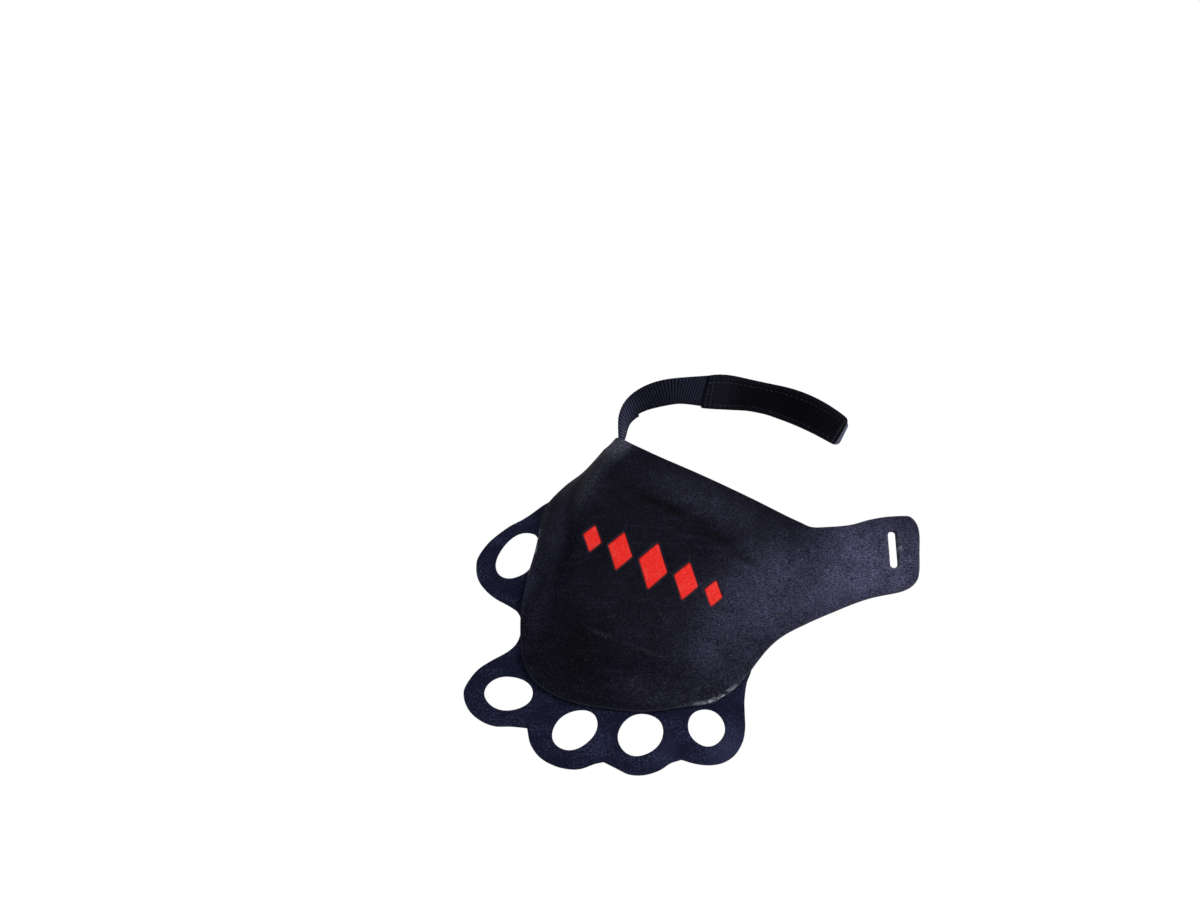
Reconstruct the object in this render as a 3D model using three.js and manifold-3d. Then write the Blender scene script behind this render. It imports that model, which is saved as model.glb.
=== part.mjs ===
// A left-hand crack climbing glove, back side up, in millimetres with +Z up.
// Two sheets lie one on the other: a soft sheet of finger and thumb loops below, a rubber back panel above.
// Both are drawn flat and then bent over one long ridge, as the glove lies when it is put down.
import * as THREE from "three";
import { mergeVertices } from "three/addons/utils/BufferGeometryUtils.js";
import Module from "manifold-3d";

const wasm = await Module();
wasm.setup();

// The flat pattern: u runs across the hand from its ridge, b along it from the fingers to the wrist.
const HAND_ANGLE = THREE.MathUtils.degToRad(22);
const HAND_ORIGIN = new THREE.Vector3(-23.43, -63.95, 0);
const ACROSS = new THREE.Vector3(Math.cos(HAND_ANGLE), -Math.sin(HAND_ANGLE), 0);
const ALONG = new THREE.Vector3(Math.sin(HAND_ANGLE), Math.cos(HAND_ANGLE), 0);

// The bent form by stations: the ridge's place and height, and the sheet's tilt on either side of it.
const STATIONS = [
  { b: -30, ridge: -49, height: 0, flank: 4, slope: 1 },
  { b: -6, ridge: -49.5, height: 0, flank: 8, slope: 1.5 },
  { b: 12, ridge: -49.5, height: 1.5, flank: 12, slope: 4 },
  { b: 32, ridge: -50.5, height: 8.5, flank: 30, slope: 9 },
  { b: 52, ridge: -52.5, height: 13.5, flank: 37, slope: 11 },
  { b: 70, ridge: -55.5, height: 15.5, flank: 38, slope: 11.5 },
  { b: 82, ridge: -56, height: 16.5, flank: 56, slope: 11.5 },
  { b: 94, ridge: -53.9, height: 16.5, flank: 77, slope: 11.5 },
  { b: 107, ridge: -50.6, height: 16.5, flank: 81, slope: 11.5 },
  { b: 130, ridge: -44.6, height: 16.5, flank: 82, slope: 11.5 },
];
const RIDGE_ROUNDING = 1.1;
const FLANK_FOOT_ROUNDING = 1.25;
const SLOPE_FOOT_ROUNDING = 3.6;
const REACH_STEP = 1.5;
const CREASE = { b: 80.5, half: 6.5, depth: 1.6, rise: [-8, 14], fall: [44, 78] };
const TAB_DROP = { depth: 1.3, from: 96, to: 114 };
const TAB_LIFT = { height: 2.5, direction: [0.87, 0.49], from: 145, to: 178 };

// Each layer's lower and upper face, as distances from the bent form.
const LOOP_SHEET = { lower: 0, upper: 1 };
const BACK_PANEL = { lower: 1.3, upper: 2.9 };
const INLAY = { lower: 1.3, upper: 2.3 };
const STRAP_CENTRE = -1.0;

const GRID = { slope: 4.6, flank: 2.6, ridge: 1.6, ridgeZone: 6 };
const OUTLINE_STEP = 2.6;
const CUT_SLAB = 10;
const CUT_BOWL = 0.002;
const NORMAL_STEP = 0.4;

// Outlines on the flat pattern; a third entry marks a corner.
const PANEL_OUTLINE = [
  [-15.5, 106.5, 1], [-11, 109], [-6, 109.7], [0, 107.6], [12, 107.1], [50, 107.6], [84, 106.2],
  [90, 105.9], [95, 108.1], [103, 113.5], [108.5, 119], [113.1, 122.3], [120.3, 125.8],
  [122.9, 126.5], [126.8, 124.7], [130.5, 121], [136.7, 111.1], [141.5, 103], [142.9, 99.5],
  [142.7, 95.7], [140.5, 92.2], [130, 84.4], [117.7, 72.8], [107.7, 63.6], [98.1, 53.6],
  [93.2, 45.9], [90.3, 39], [86.7, 29.3], [82.5, 21], [75.7, 13], [68.5, 8.5], [57, 1.5],
  [46.5, -2.8], [36, -5.8], [25.5, -8], [17, -8.5], [9.5, -7.6], [3.5, -5.5], [-1.5, -2],
  [-5.5, 2.5], [-9, 9], [-12.5, 17.5], [-14.5, 24], [-16.5, 32], [-17.5, 40], [-17.6, 47],
  [-18.2, 58], [-18.4, 69], [-17.3, 77], [-16.8, 85], [-15.8, 96], [-15.5, 106.5, 1],
];
const LOOP_OUTLINE = [
  [-11.5, 17.2, 1], [-15.6, 21.6], [-19, 22.8], [-26.9, 24.1], [-30.7, 25.2], [-35.8, 27.8],
  [-39, 30.7], [-41.2, 34.5], [-42.4, 38.5], [-41.3, 46], [-39, 51.4], [-34.6, 58], [-29.8, 63],
  [-25.3, 68.4], [-20.5, 74], [-14, 79], [-3, 86], [4, 92], [9, 97, 1], [40, 98.5], [62, 98],
  [70, 95], [77, 82], [83, 64], [87, 46], [88.4, 34], [88, 28], [89.3, 20], [91, 15], [93.6, 8],
  [94.6, 2.6], [93.7, -4.1], [90.5, -9], [85.9, -12.1], [80, -13.9], [73.5, -14.5, 1],
  [69.8, -17.7], [66.7, -22.2], [61.5, -26.5], [55.5, -28.7], [49, -28.2], [43.5, -27.6, 1],
  [40.5, -29.6], [35.9, -33.8], [31.9, -35.7], [25.5, -36.8], [18, -35.7], [12.1, -31.8],
  [8, -25.6, 1], [1.5, -27.5], [-5, -29.9], [-10.5, -30], [-16.6, -28.1], [-21, -24.3],
  [-23.1, -20], [-22.7, -14.4], [-20.8, -8.4], [-17.4, -3.2], [-12.3, 3.8], [-10.5, 9],
  [-11.5, 17.2, 1],
];
const THUMB_HOLE = { at: [-26.2, 46.5], half: [12.2, 8.1], tilt: 72 };
const FINGER_HOLES = [
  { at: [-5, -14.1], half: [10.3, 7.7], tilt: 23 },
  { at: [27.1, -18.8], half: [10.6, 7.8], tilt: 60 },
  { at: [53.6, -10.5], half: [10.2, 8.8], tilt: 64 },
  { at: [78.2, 2.8], half: [8.5, 7.6], tilt: -47 },
];
const TAB_SLOT = { ends: [[121.6, 116], [130.7, 102.9]], halfWidth: 1.5 };
const LOZENGES = {
  centre: [36, 60],
  gap: 2.5,
  clearance: 0.3,
  sizes: [[9, 13], [12, 18], [14, 22], [12, 18], [9, 13]],
};

// The strap leaves its sewn root on edge, gathered narrow, then curls round and leans to the ground.
// Its nearer edge is wider as far as a notch. The rates are degrees per 10 mm: bend turns the tape's
// face, twist turns it about its own length, and sway turns it within its own plane.
const STRAP = {
  root: { u: -10.9, from: 94, to: 107, stations: 14, width: 8.8, openBy: 16 },
  length: 126,
  width: 14.5,
  thickness: 1.3,
  corner: 3,
  notch: { at: 23.5, extra: 1.6 },
  rates: [
    { s: 0, bend: -20, twist: -43, sway: 34.5 },
    { s: 4, bend: -58, twist: -24.5, sway: 34.5 },
    { s: 9, bend: -15, twist: -6, sway: -8 },
    { s: 15, bend: 38.5, twist: -3.5, sway: -34.5 },
    { s: 22, bend: 47.5, twist: -10.5, sway: 4 },
    { s: 30, bend: 21.5, twist: -15, sway: 1.5 },
    { s: 42, bend: -20.5, twist: 3, sway: -32 },
    { s: 56, bend: -0.5, twist: -22, sway: 0.5 },
    { s: 74, bend: 20, twist: -19, sway: -9.5 },
    { s: 92, bend: 6, twist: 11.5, sway: -8.5 },
    { s: 110, bend: -6, twist: -8.5, sway: -7 },
    { s: 126, bend: -25, twist: -20, sway: 15 },
  ],
};
const PATCH = { from: 56, to: 124.6, width: 16, thickness: 1.1, gap: 0.5, corner: 2.4 };

const FINISHES = {
  rubber: { color: 0x1d222b, roughness: 0.62, metalness: 0 },
  suede: { color: 0x252a36, roughness: 0.95, metalness: 0 },
  inlay: { color: 0xe02822, roughness: 0.7, metalness: 0 },
  webbing: { color: 0x343a47, roughness: 0.85, metalness: 0 },
  patch: { color: 0x1b1f29, roughness: 0.9, metalness: 0 },
};

// A smooth step from 0 at `from` to 1 at `to`.
function smoothStep(x, from, to) {
  const t = THREE.MathUtils.clamp((x - from) / (to - from), 0, 1);
  return t * t * (3 - 2 * t);
}

// The greater and the lesser of two heights, with the corner between them rounded.
function roundedMax(p, q, r) {
  return 0.5 * (p + q + Math.sqrt((p - q) ** 2 + 4 * r * r));
}

function roundedMin(p, q, r) {
  return 0.5 * (p + q - Math.sqrt((p - q) ** 2 + 4 * r * r));
}

// One column of the station table at the distance b along the hand, by a cubic through the stations.
function stationValue(key, b) {
  const last = STATIONS.length - 1;
  let i = 0;
  while (i < last - 1 && b > STATIONS[i + 1].b) i += 1;
  const secant = (j, k) => (STATIONS[k][key] - STATIONS[j][key]) / (STATIONS[k].b - STATIONS[j].b);
  const tangent = (k) => secant(Math.max(0, k - 1), Math.min(last, k + 1));
  const span = STATIONS[i + 1].b - STATIONS[i].b;
  const t = (b - STATIONS[i].b) / span;
  const [t2, t3] = [t * t, t * t * t];
  return (
    (2 * t3 - 3 * t2 + 1) * STATIONS[i][key] +
    (t3 - 2 * t2 + t) * tangent(i) * span +
    (3 * t2 - 2 * t3) * STATIONS[i + 1][key] +
    (t3 - t2) * tangent(i + 1) * span
  );
}

// The cross-section of the bent form at b.
function crossSection(b) {
  return {
    ridge: stationValue("ridge", b),
    height: stationValue("height", b),
    flankSin: Math.sin(THREE.MathUtils.degToRad(stationValue("flank", b))),
    slopeSin: Math.sin(THREE.MathUtils.degToRad(stationValue("slope", b))),
    openSin: Math.sin(THREE.MathUtils.degToRad(stationValue("flank", b) + stationValue("slope", b))),
  };
}

// The height of a cross-section at the arc distance u from its ridge.
function sectionHeight(section, u) {
  const crest = RIDGE_ROUNDING * section.openSin + 0.0005;
  const [flank, slope] = [section.flankSin * u, -section.slopeSin * u];
  const roof = roundedMin(section.height + flank, section.height + slope, crest);
  const flankFoot = FLANK_FOOT_ROUNDING * section.flankSin;
  const slopeFoot = SLOPE_FOOT_ROUNDING * section.slopeSin;
  return roundedMax(roof, 0, THREE.MathUtils.lerp(flankFoot, slopeFoot, smoothStep(u, -4, 4)));
}

// How far across the hand the arc distance u reaches, adding up the section's short chords.
function sectionReach(section, u) {
  const steps = Math.max(8, Math.ceil(Math.abs(u) / REACH_STEP));
  const du = u / steps;
  let reach = section.ridge;
  let z = sectionHeight(section, 0);
  for (let i = 1; i <= steps && du !== 0; i += 1) {
    const next = sectionHeight(section, i * du);
    const fall = (next - z) / du;
    reach += Math.sqrt(Math.max(1 - fall * fall, 0.02)) * du;
    z = next;
  }
  return reach;
}

// The wrist crease, the tab's rest on the ground past the loop sheet, and its slightly raised end.
function localHeight(u, b) {
  const fold = Math.exp(-(((b - CREASE.b) / CREASE.half) ** 2));
  const creaseWeight = smoothStep(u, ...CREASE.rise) * (1 - smoothStep(u, ...CREASE.fall));
  const tabReach = TAB_LIFT.direction[0] * u + TAB_LIFT.direction[1] * b;
  return (
    TAB_LIFT.height * smoothStep(tabReach, TAB_LIFT.from, TAB_LIFT.to) -
    CREASE.depth * fold * creaseWeight -
    TAB_DROP.depth * smoothStep(u, TAB_DROP.from, TAB_DROP.to)
  );
}

// The bent form itself, at one point of the flat pattern.
function formPoint(u, b) {
  const section = crossSection(b);
  const point = HAND_ORIGIN.clone().addScaledVector(ACROSS, sectionReach(section, u));
  point.addScaledVector(ALONG, b);
  point.z += sectionHeight(section, u) + localHeight(u, b);
  return point;
}

// The form's unit directions at a point of the pattern: across, along and outward.
function formFrame(u, b) {
  const across = formPoint(u + NORMAL_STEP, b).sub(formPoint(u - NORMAL_STEP, b)).normalize();
  const along = formPoint(u, b + NORMAL_STEP).sub(formPoint(u, b - NORMAL_STEP)).normalize();
  const outward = new THREE.Vector3().crossVectors(across, along).normalize();
  return { across, along, outward };
}

function layerPoint(u, b, distance) {
  return formPoint(u, b).addScaledVector(formFrame(u, b).outward, distance);
}

// A closed outline through marked points: smooth between corners, in even short steps.
function smoothOutline(marked) {
  const points = [];
  let stretch = [];
  marked.forEach(([u, b, corner], index) => {
    stretch.push(new THREE.Vector3(u, b, 0));
    if (index === 0 || !(corner || index === marked.length - 1)) return;
    const curve = new THREE.CatmullRomCurve3(stretch, false, "centripetal");
    const steps = Math.max(1, Math.round(curve.getLength() / OUTLINE_STEP));
    points.push(...curve.getSpacedPoints(steps).slice(0, -1));
    stretch = [stretch.at(-1)];
  });
  return points.map((p) => new THREE.Vector2(p.x, p.y));
}

function ellipseOutline({ at, half, tilt }) {
  const turn = THREE.MathUtils.degToRad(tilt);
  const curve = new THREE.EllipseCurve(...at, ...half, 0, 2 * Math.PI, false, turn);
  return curve.getSpacedPoints(26).slice(0, -1);
}

function slotOutline({ ends, halfWidth }) {
  const [start, end] = ends.map((p) => new THREE.Vector2(...p));
  const heading = end.clone().sub(start).angle();
  const cap = (centre, from) => {
    const arc = new THREE.EllipseCurve(...centre, halfWidth, halfWidth, from, from + Math.PI);
    return arc.getPoints(6);
  };
  return [...cap(end, heading - Math.PI / 2), ...cap(start, heading + Math.PI / 2)];
}

// The five lozenges of the row, each grown by `margin`, as four-cornered outlines.
function lozengeOutlines(margin) {
  const gaps = LOZENGES.gap * (LOZENGES.sizes.length - 1);
  const total = LOZENGES.sizes.reduce((sum, [width]) => sum + width, gaps);
  let left = LOZENGES.centre[0] - total / 2;
  return LOZENGES.sizes.map(([width, height]) => {
    const [u, b] = [left + width / 2, LOZENGES.centre[1]];
    left += width + LOZENGES.gap;
    const grow = (margin * Math.hypot(width, height)) / (width * height);
    const [halfU, halfB] = [width * (0.5 + grow), height * (0.5 + grow)];
    const corners = [[u - halfU, b], [u, b - halfB], [u + halfU, b], [u, b + halfB]];
    return corners.map((corner) => new THREE.Vector2(...corner));
  });
}

function solidFrom(geometry) {
  const bare = new THREE.BufferGeometry();
  bare.setAttribute("position", geometry.getAttribute("position").clone());
  if (geometry.index) bare.setIndex(geometry.index.clone());
  const merged = mergeVertices(bare, 1e-4);
  return new wasm.Manifold(
    new wasm.Mesh({
      numProp: 3,
      vertProperties: merged.getAttribute("position").array,
      triVerts: new Uint32Array(merged.index.array),
    }),
  );
}

function geometryFrom(positions, indices) {
  const geometry = new THREE.BufferGeometry();
  geometry.setAttribute("position", new THREE.BufferAttribute(new Float32Array(positions), 3));
  geometry.setIndex(indices);
  geometry.computeVertexNormals();
  return geometry;
}

// The grid's spacing across the hand: close at the ridge, and closer on the flank than on the slope.
function spacingAcross(u) {
  if (Math.abs(u) < GRID.ridgeZone) return GRID.ridge;
  return u < 0 ? GRID.flank : GRID.slope;
}

function gridLines(low, high, spacing) {
  const lines = [low];
  while (lines.at(-1) < high) lines.push(lines.at(-1) + spacing(lines.at(-1)));
  return lines;
}

// The cut slab is a shallow bowl, so that joining and cutting keep every grid point.
function bowlHeight(u, b) {
  return CUT_BOWL * (u * u + b * b);
}

function gridSlab(box) {
  const us = gridLines(box.min.x - 1, box.max.x + 1, spacingAcross);
  const bs = gridLines(box.min.y - 1, box.max.y + 1, () => GRID.slope);
  const positions = [];
  [0, CUT_SLAB].forEach((level) => {
    bs.forEach((b) => us.forEach((u) => positions.push(u, b, bowlHeight(u, b) + level)));
  });
  const layer = us.length * bs.length;
  const at = (i, j, top) => top * layer + j * us.length + i;
  const indices = [];
  const quad = (p, q, r, s) => indices.push(p, q, r, p, r, s);
  const [iMax, jMax] = [us.length - 1, bs.length - 1];
  for (let j = 0; j < jMax; j += 1) {
    for (let i = 0; i < iMax; i += 1) {
      quad(at(i, j, 1), at(i + 1, j, 1), at(i + 1, j + 1, 1), at(i, j + 1, 1));
      quad(at(i, j, 0), at(i, j + 1, 0), at(i + 1, j + 1, 0), at(i + 1, j, 0));
    }
    quad(at(0, j, 0), at(0, j, 1), at(0, j + 1, 1), at(0, j + 1, 0));
    quad(at(iMax, j, 0), at(iMax, j + 1, 0), at(iMax, j + 1, 1), at(iMax, j, 1));
  }
  for (let i = 0; i < iMax; i += 1) {
    quad(at(i, 0, 0), at(i + 1, 0, 0), at(i + 1, 0, 1), at(i, 0, 1));
    quad(at(i, jMax, 0), at(i, jMax, 1), at(i + 1, jMax, 1), at(i + 1, jMax, 0));
  }
  return solidFrom(geometryFrom(positions, indices));
}

// A sheet: cut flat to its outline and openings, then bent so that its faces lie at the layer's distances.
function bentSheet(outline, openings, layer) {
  const shape = new THREE.Shape(outline);
  shape.holes = openings.map((points) => new THREE.Path(points));
  const prism = new THREE.ExtrudeGeometry(shape, { depth: 200, bevelEnabled: false }).translate(0, 0, -50);
  const box = new THREE.Box2().setFromPoints(outline);
  const cut = gridSlab(box).intersect(solidFrom(prism)).getMesh();
  const positions = [];
  for (let i = 0; i < cut.vertProperties.length; i += cut.numProp) {
    const [u, b, z] = cut.vertProperties.subarray(i, i + 3);
    const top = z - bowlHeight(u, b) > CUT_SLAB / 2;
    positions.push(...layerPoint(u, b, top ? layer.upper : layer.lower));
  }
  return geometryFrom(positions, Array.from(cut.triVerts));
}

// The strap's three rates, in radians per millimetre, at a distance along it.
function strapRates(s) {
  const rates = STRAP.rates;
  let i = 0;
  while (i < rates.length - 2 && s > rates[i + 1].s) i += 1;
  const t = (s - rates[i].s) / (rates[i + 1].s - rates[i].s);
  const between = (key) => THREE.MathUtils.lerp(rates[i][key], rates[i + 1][key], t);
  const rate = (key) => THREE.MathUtils.degToRad(between(key)) / 10;
  return { bend: rate("bend"), twist: rate("twist"), sway: rate("sway") };
}

// Frames along the strap's middle: sewn under the panel, then free; s is counted from the panel's edge.
function strapFrames() {
  const { u, from, to, stations } = STRAP.root;
  const frames = [];
  for (let i = 0; i < stations; i += 1) {
    const b = from + ((to - from) * i) / (stations - 1);
    const { across, along, outward } = formFrame(u, b);
    const wide = across.addScaledVector(along, -across.dot(along)).normalize();
    const point = layerPoint(u, b, STRAP_CENTRE);
    frames.push({ s: b - to, point, heading: along, wide, face: outward.negate() });
  }
  const start = frames.at(-1);
  const [point, heading, wide] = [start.point.clone(), start.heading.clone(), start.wide.clone()];
  const steps = STRAP.length;
  for (let i = 0; i < steps; i += 1) {
    const { bend, twist, sway } = strapRates(i + 0.5);
    const normal = new THREE.Vector3().crossVectors(heading, wide);
    const turn = heading.clone().multiplyScalar(twist).addScaledVector(wide, -bend);
    turn.addScaledVector(normal, sway);
    const angle = turn.length();
    const axis = turn.normalize();
    const next = heading.clone().applyAxisAngle(axis, angle);
    point.addScaledVector(heading.clone().add(next), 0.5);
    heading.copy(next).normalize();
    wide.applyAxisAngle(axis, angle).normalize();
    const face = new THREE.Vector3().crossVectors(heading, wide);
    frames.push({ s: i + 1, point: point.clone(), heading: heading.clone(), wide: wide.clone(), face });
  }
  return frames;
}

// The frame at any distance s, between the two nearest ones.
function frameAt(frames, s) {
  let i = 0;
  while (i < frames.length - 2 && frames[i + 1].s < s) i += 1;
  const [p, q] = [frames[i], frames[i + 1]];
  const t = (s - p.s) / (q.s - p.s);
  return {
    point: p.point.clone().lerp(q.point, t),
    wide: p.wide.clone().lerp(q.wide, t).normalize(),
    face: p.face.clone().lerp(q.face, t).normalize(),
  };
}

// The webbing's reach to its farther and nearer edge at s: gathered at the root, and notched once.
function webbingHalves(s) {
  const open = smoothStep(s, 0, STRAP.root.openBy);
  const extra = s < STRAP.notch.at ? STRAP.notch.extra : 0;
  const reach = (full) => THREE.MathUtils.lerp(STRAP.root.width, full, open) / 2;
  return { far: reach(STRAP.width), near: reach(STRAP.width + 2 * extra) };
}

// How much a rounded corner takes off half the width, at a distance from its end.
function cornerLoss(corner, fromEnd) {
  if (fromEnd >= corner) return 0;
  return corner - Math.sqrt(Math.max(0, corner ** 2 - (corner - fromEnd) ** 2));
}

// A band swept along the strap's frames, `raise` above its middle.
function sweptBand(frames, { from, to, halves, thickness, raise, startCorner, endCorner }) {
  const inside = frames.map((frame) => frame.s).filter((s) => s > from + 0.01 && s < to - 0.01);
  const positions = [];
  [from, ...inside, to].forEach((s) => {
    const { point, wide, face } = frameAt(frames, s);
    const { far, near } = halves(s);
    const loss = Math.max(cornerLoss(startCorner, s - from), cornerLoss(endCorner, to - s));
    const [left, right] = [loss - near, far - loss];
    [[left, -0.5], [right, -0.5], [right, 0.5], [left, 0.5]].forEach(([across, level]) => {
      const corner = point.clone().addScaledVector(wide, across);
      positions.push(...corner.addScaledVector(face, raise + level * thickness));
    });
  });
  const indices = [];
  const quad = (p, q, r, s) => indices.push(p, q, r, p, r, s);
  const rings = positions.length / 12;
  for (let ring = 0; ring < rings - 1; ring += 1) {
    for (let k = 0; k < 4; k += 1) {
      const [p, q] = [4 * ring + k, 4 * ring + ((k + 1) % 4)];
      quad(p, q, q + 4, p + 4);
    }
  }
  quad(0, 3, 2, 1);
  const end = 4 * (rings - 1);
  quad(end, end + 1, end + 2, end + 3);
  return geometryFrom(positions, indices);
}

function namedMesh(name, geometry, finish) {
  const mesh = new THREE.Mesh(geometry, new THREE.MeshStandardMaterial(FINISHES[finish]));
  mesh.name = name;
  return mesh;
}

function makeLoopSheet() {
  const holes = [THUMB_HOLE, ...FINGER_HOLES].map(ellipseOutline);
  return namedMesh("finger_loop_sheet", bentSheet(smoothOutline(LOOP_OUTLINE), holes, LOOP_SHEET), "suede");
}

function makeBackPanel() {
  const windows = [slotOutline(TAB_SLOT), ...lozengeOutlines(LOZENGES.clearance)];
  return namedMesh("back_panel", bentSheet(smoothOutline(PANEL_OUTLINE), windows, BACK_PANEL), "rubber");
}

function makeInlays() {
  return lozengeOutlines(0).map((outline, i) => {
    return namedMesh("inlay_" + (i + 1), bentSheet(outline, [], INLAY), "inlay");
  });
}

function makeStrap() {
  const frames = strapFrames();
  const webbing = sweptBand(frames, {
    from: frames[0].s,
    to: STRAP.length,
    halves: webbingHalves,
    thickness: STRAP.thickness,
    raise: 0,
    startCorner: 0,
    endCorner: STRAP.corner,
  });
  const patch = sweptBand(frames, {
    from: PATCH.from,
    to: PATCH.to,
    halves: () => ({ far: PATCH.width / 2, near: PATCH.width / 2 }),
    thickness: PATCH.thickness,
    raise: STRAP.thickness / 2 + PATCH.gap + PATCH.thickness / 2,
    startCorner: PATCH.corner,
    endCorner: PATCH.corner,
  });
  return [namedMesh("strap_webbing", webbing, "webbing"), namedMesh("strap_hook_patch", patch, "patch")];
}

const group = new THREE.Group();
group.name = "crack_climbing_glove";
group.add(makeLoopSheet(), makeBackPanel(), ...makeInlays(), ...makeStrap());

export default group;
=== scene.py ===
"""A left-hand crack climbing glove lying back side up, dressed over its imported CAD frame.

The glove is two bent sheets, five red inlays and a webbing strap with a hook patch. Lengths are in
millimetres inside the classes and become metres where a mesh is made.
"""

import logging
import math
from dataclasses import dataclass
from enum import Enum

import bpy
import numpy as np
from mathutils import Matrix, Vector
from mathutils.geometry import delaunay_2d_cdt

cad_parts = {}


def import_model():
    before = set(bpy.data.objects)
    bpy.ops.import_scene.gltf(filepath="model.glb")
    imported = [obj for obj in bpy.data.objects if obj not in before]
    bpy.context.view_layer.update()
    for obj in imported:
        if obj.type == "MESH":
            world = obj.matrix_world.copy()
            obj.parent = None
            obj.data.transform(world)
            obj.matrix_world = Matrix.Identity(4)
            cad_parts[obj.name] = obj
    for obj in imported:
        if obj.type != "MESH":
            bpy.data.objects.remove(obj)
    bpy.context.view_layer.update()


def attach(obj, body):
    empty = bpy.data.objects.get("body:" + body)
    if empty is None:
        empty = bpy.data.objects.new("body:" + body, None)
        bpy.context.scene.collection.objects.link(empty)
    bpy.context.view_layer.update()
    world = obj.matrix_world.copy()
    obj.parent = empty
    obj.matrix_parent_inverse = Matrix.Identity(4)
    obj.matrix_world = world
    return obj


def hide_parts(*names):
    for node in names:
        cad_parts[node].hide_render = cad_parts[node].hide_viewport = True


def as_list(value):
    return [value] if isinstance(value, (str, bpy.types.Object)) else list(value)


LOG = logging.getLogger("glove")
MM = 0.001
TINY = 1e-12
CURVE_SAMPLES = 25
POINTS_AT_ONCE = 2000
BODY = "root"
FLAT_MAP = "flat_pattern"
RIM_MARK = "rim_distance"

Triple = tuple[float, float, float]
Colour = tuple[float, float, float, float]


# Plain sums


def smooth_step(x: np.ndarray, low: float, high: float) -> np.ndarray:
    """A smooth step from 0 at low to 1 at high."""
    t = np.clip((x - low) / (high - low), 0.0, 1.0)
    return t * t * (3.0 - 2.0 * t)


def rounded_max(p: np.ndarray, q: np.ndarray, r: np.ndarray) -> np.ndarray:
    """The greater of two heights, with the corner between them rounded."""
    return 0.5 * (p + q + np.sqrt((p - q) ** 2 + 4.0 * r * r))


def rounded_min(p: np.ndarray, q: np.ndarray, r: np.ndarray) -> np.ndarray:
    """The lesser of two heights, with the corner between them rounded."""
    return 0.5 * (p + q - np.sqrt((p - q) ** 2 + 4.0 * r * r))


def unit(vectors: np.ndarray) -> np.ndarray:
    """Each row of an array of vectors, at length one."""
    return vectors / np.maximum(np.linalg.norm(vectors, axis=-1, keepdims=True), TINY)


def lengths_along(points: np.ndarray) -> np.ndarray:
    """The distance along a line of points to each of them."""
    return np.concatenate([[0.0], np.cumsum(np.linalg.norm(np.diff(points, axis=0), axis=1))])


def points_at(points: np.ndarray, wanted: np.ndarray) -> np.ndarray:
    """The points at given distances along a line of points."""
    length = lengths_along(points)
    return np.stack([np.interp(wanted, length, points[:, k]) for k in (0, 1)], axis=1)


# The bent form that both sheets follow


@dataclass(frozen=True)
class Station:
    """One cross-section of the form: where it is, its ridge, its height and the tilt of both sides."""

    along: float
    ridge: float
    height: float
    flank: float
    slope: float


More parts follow.
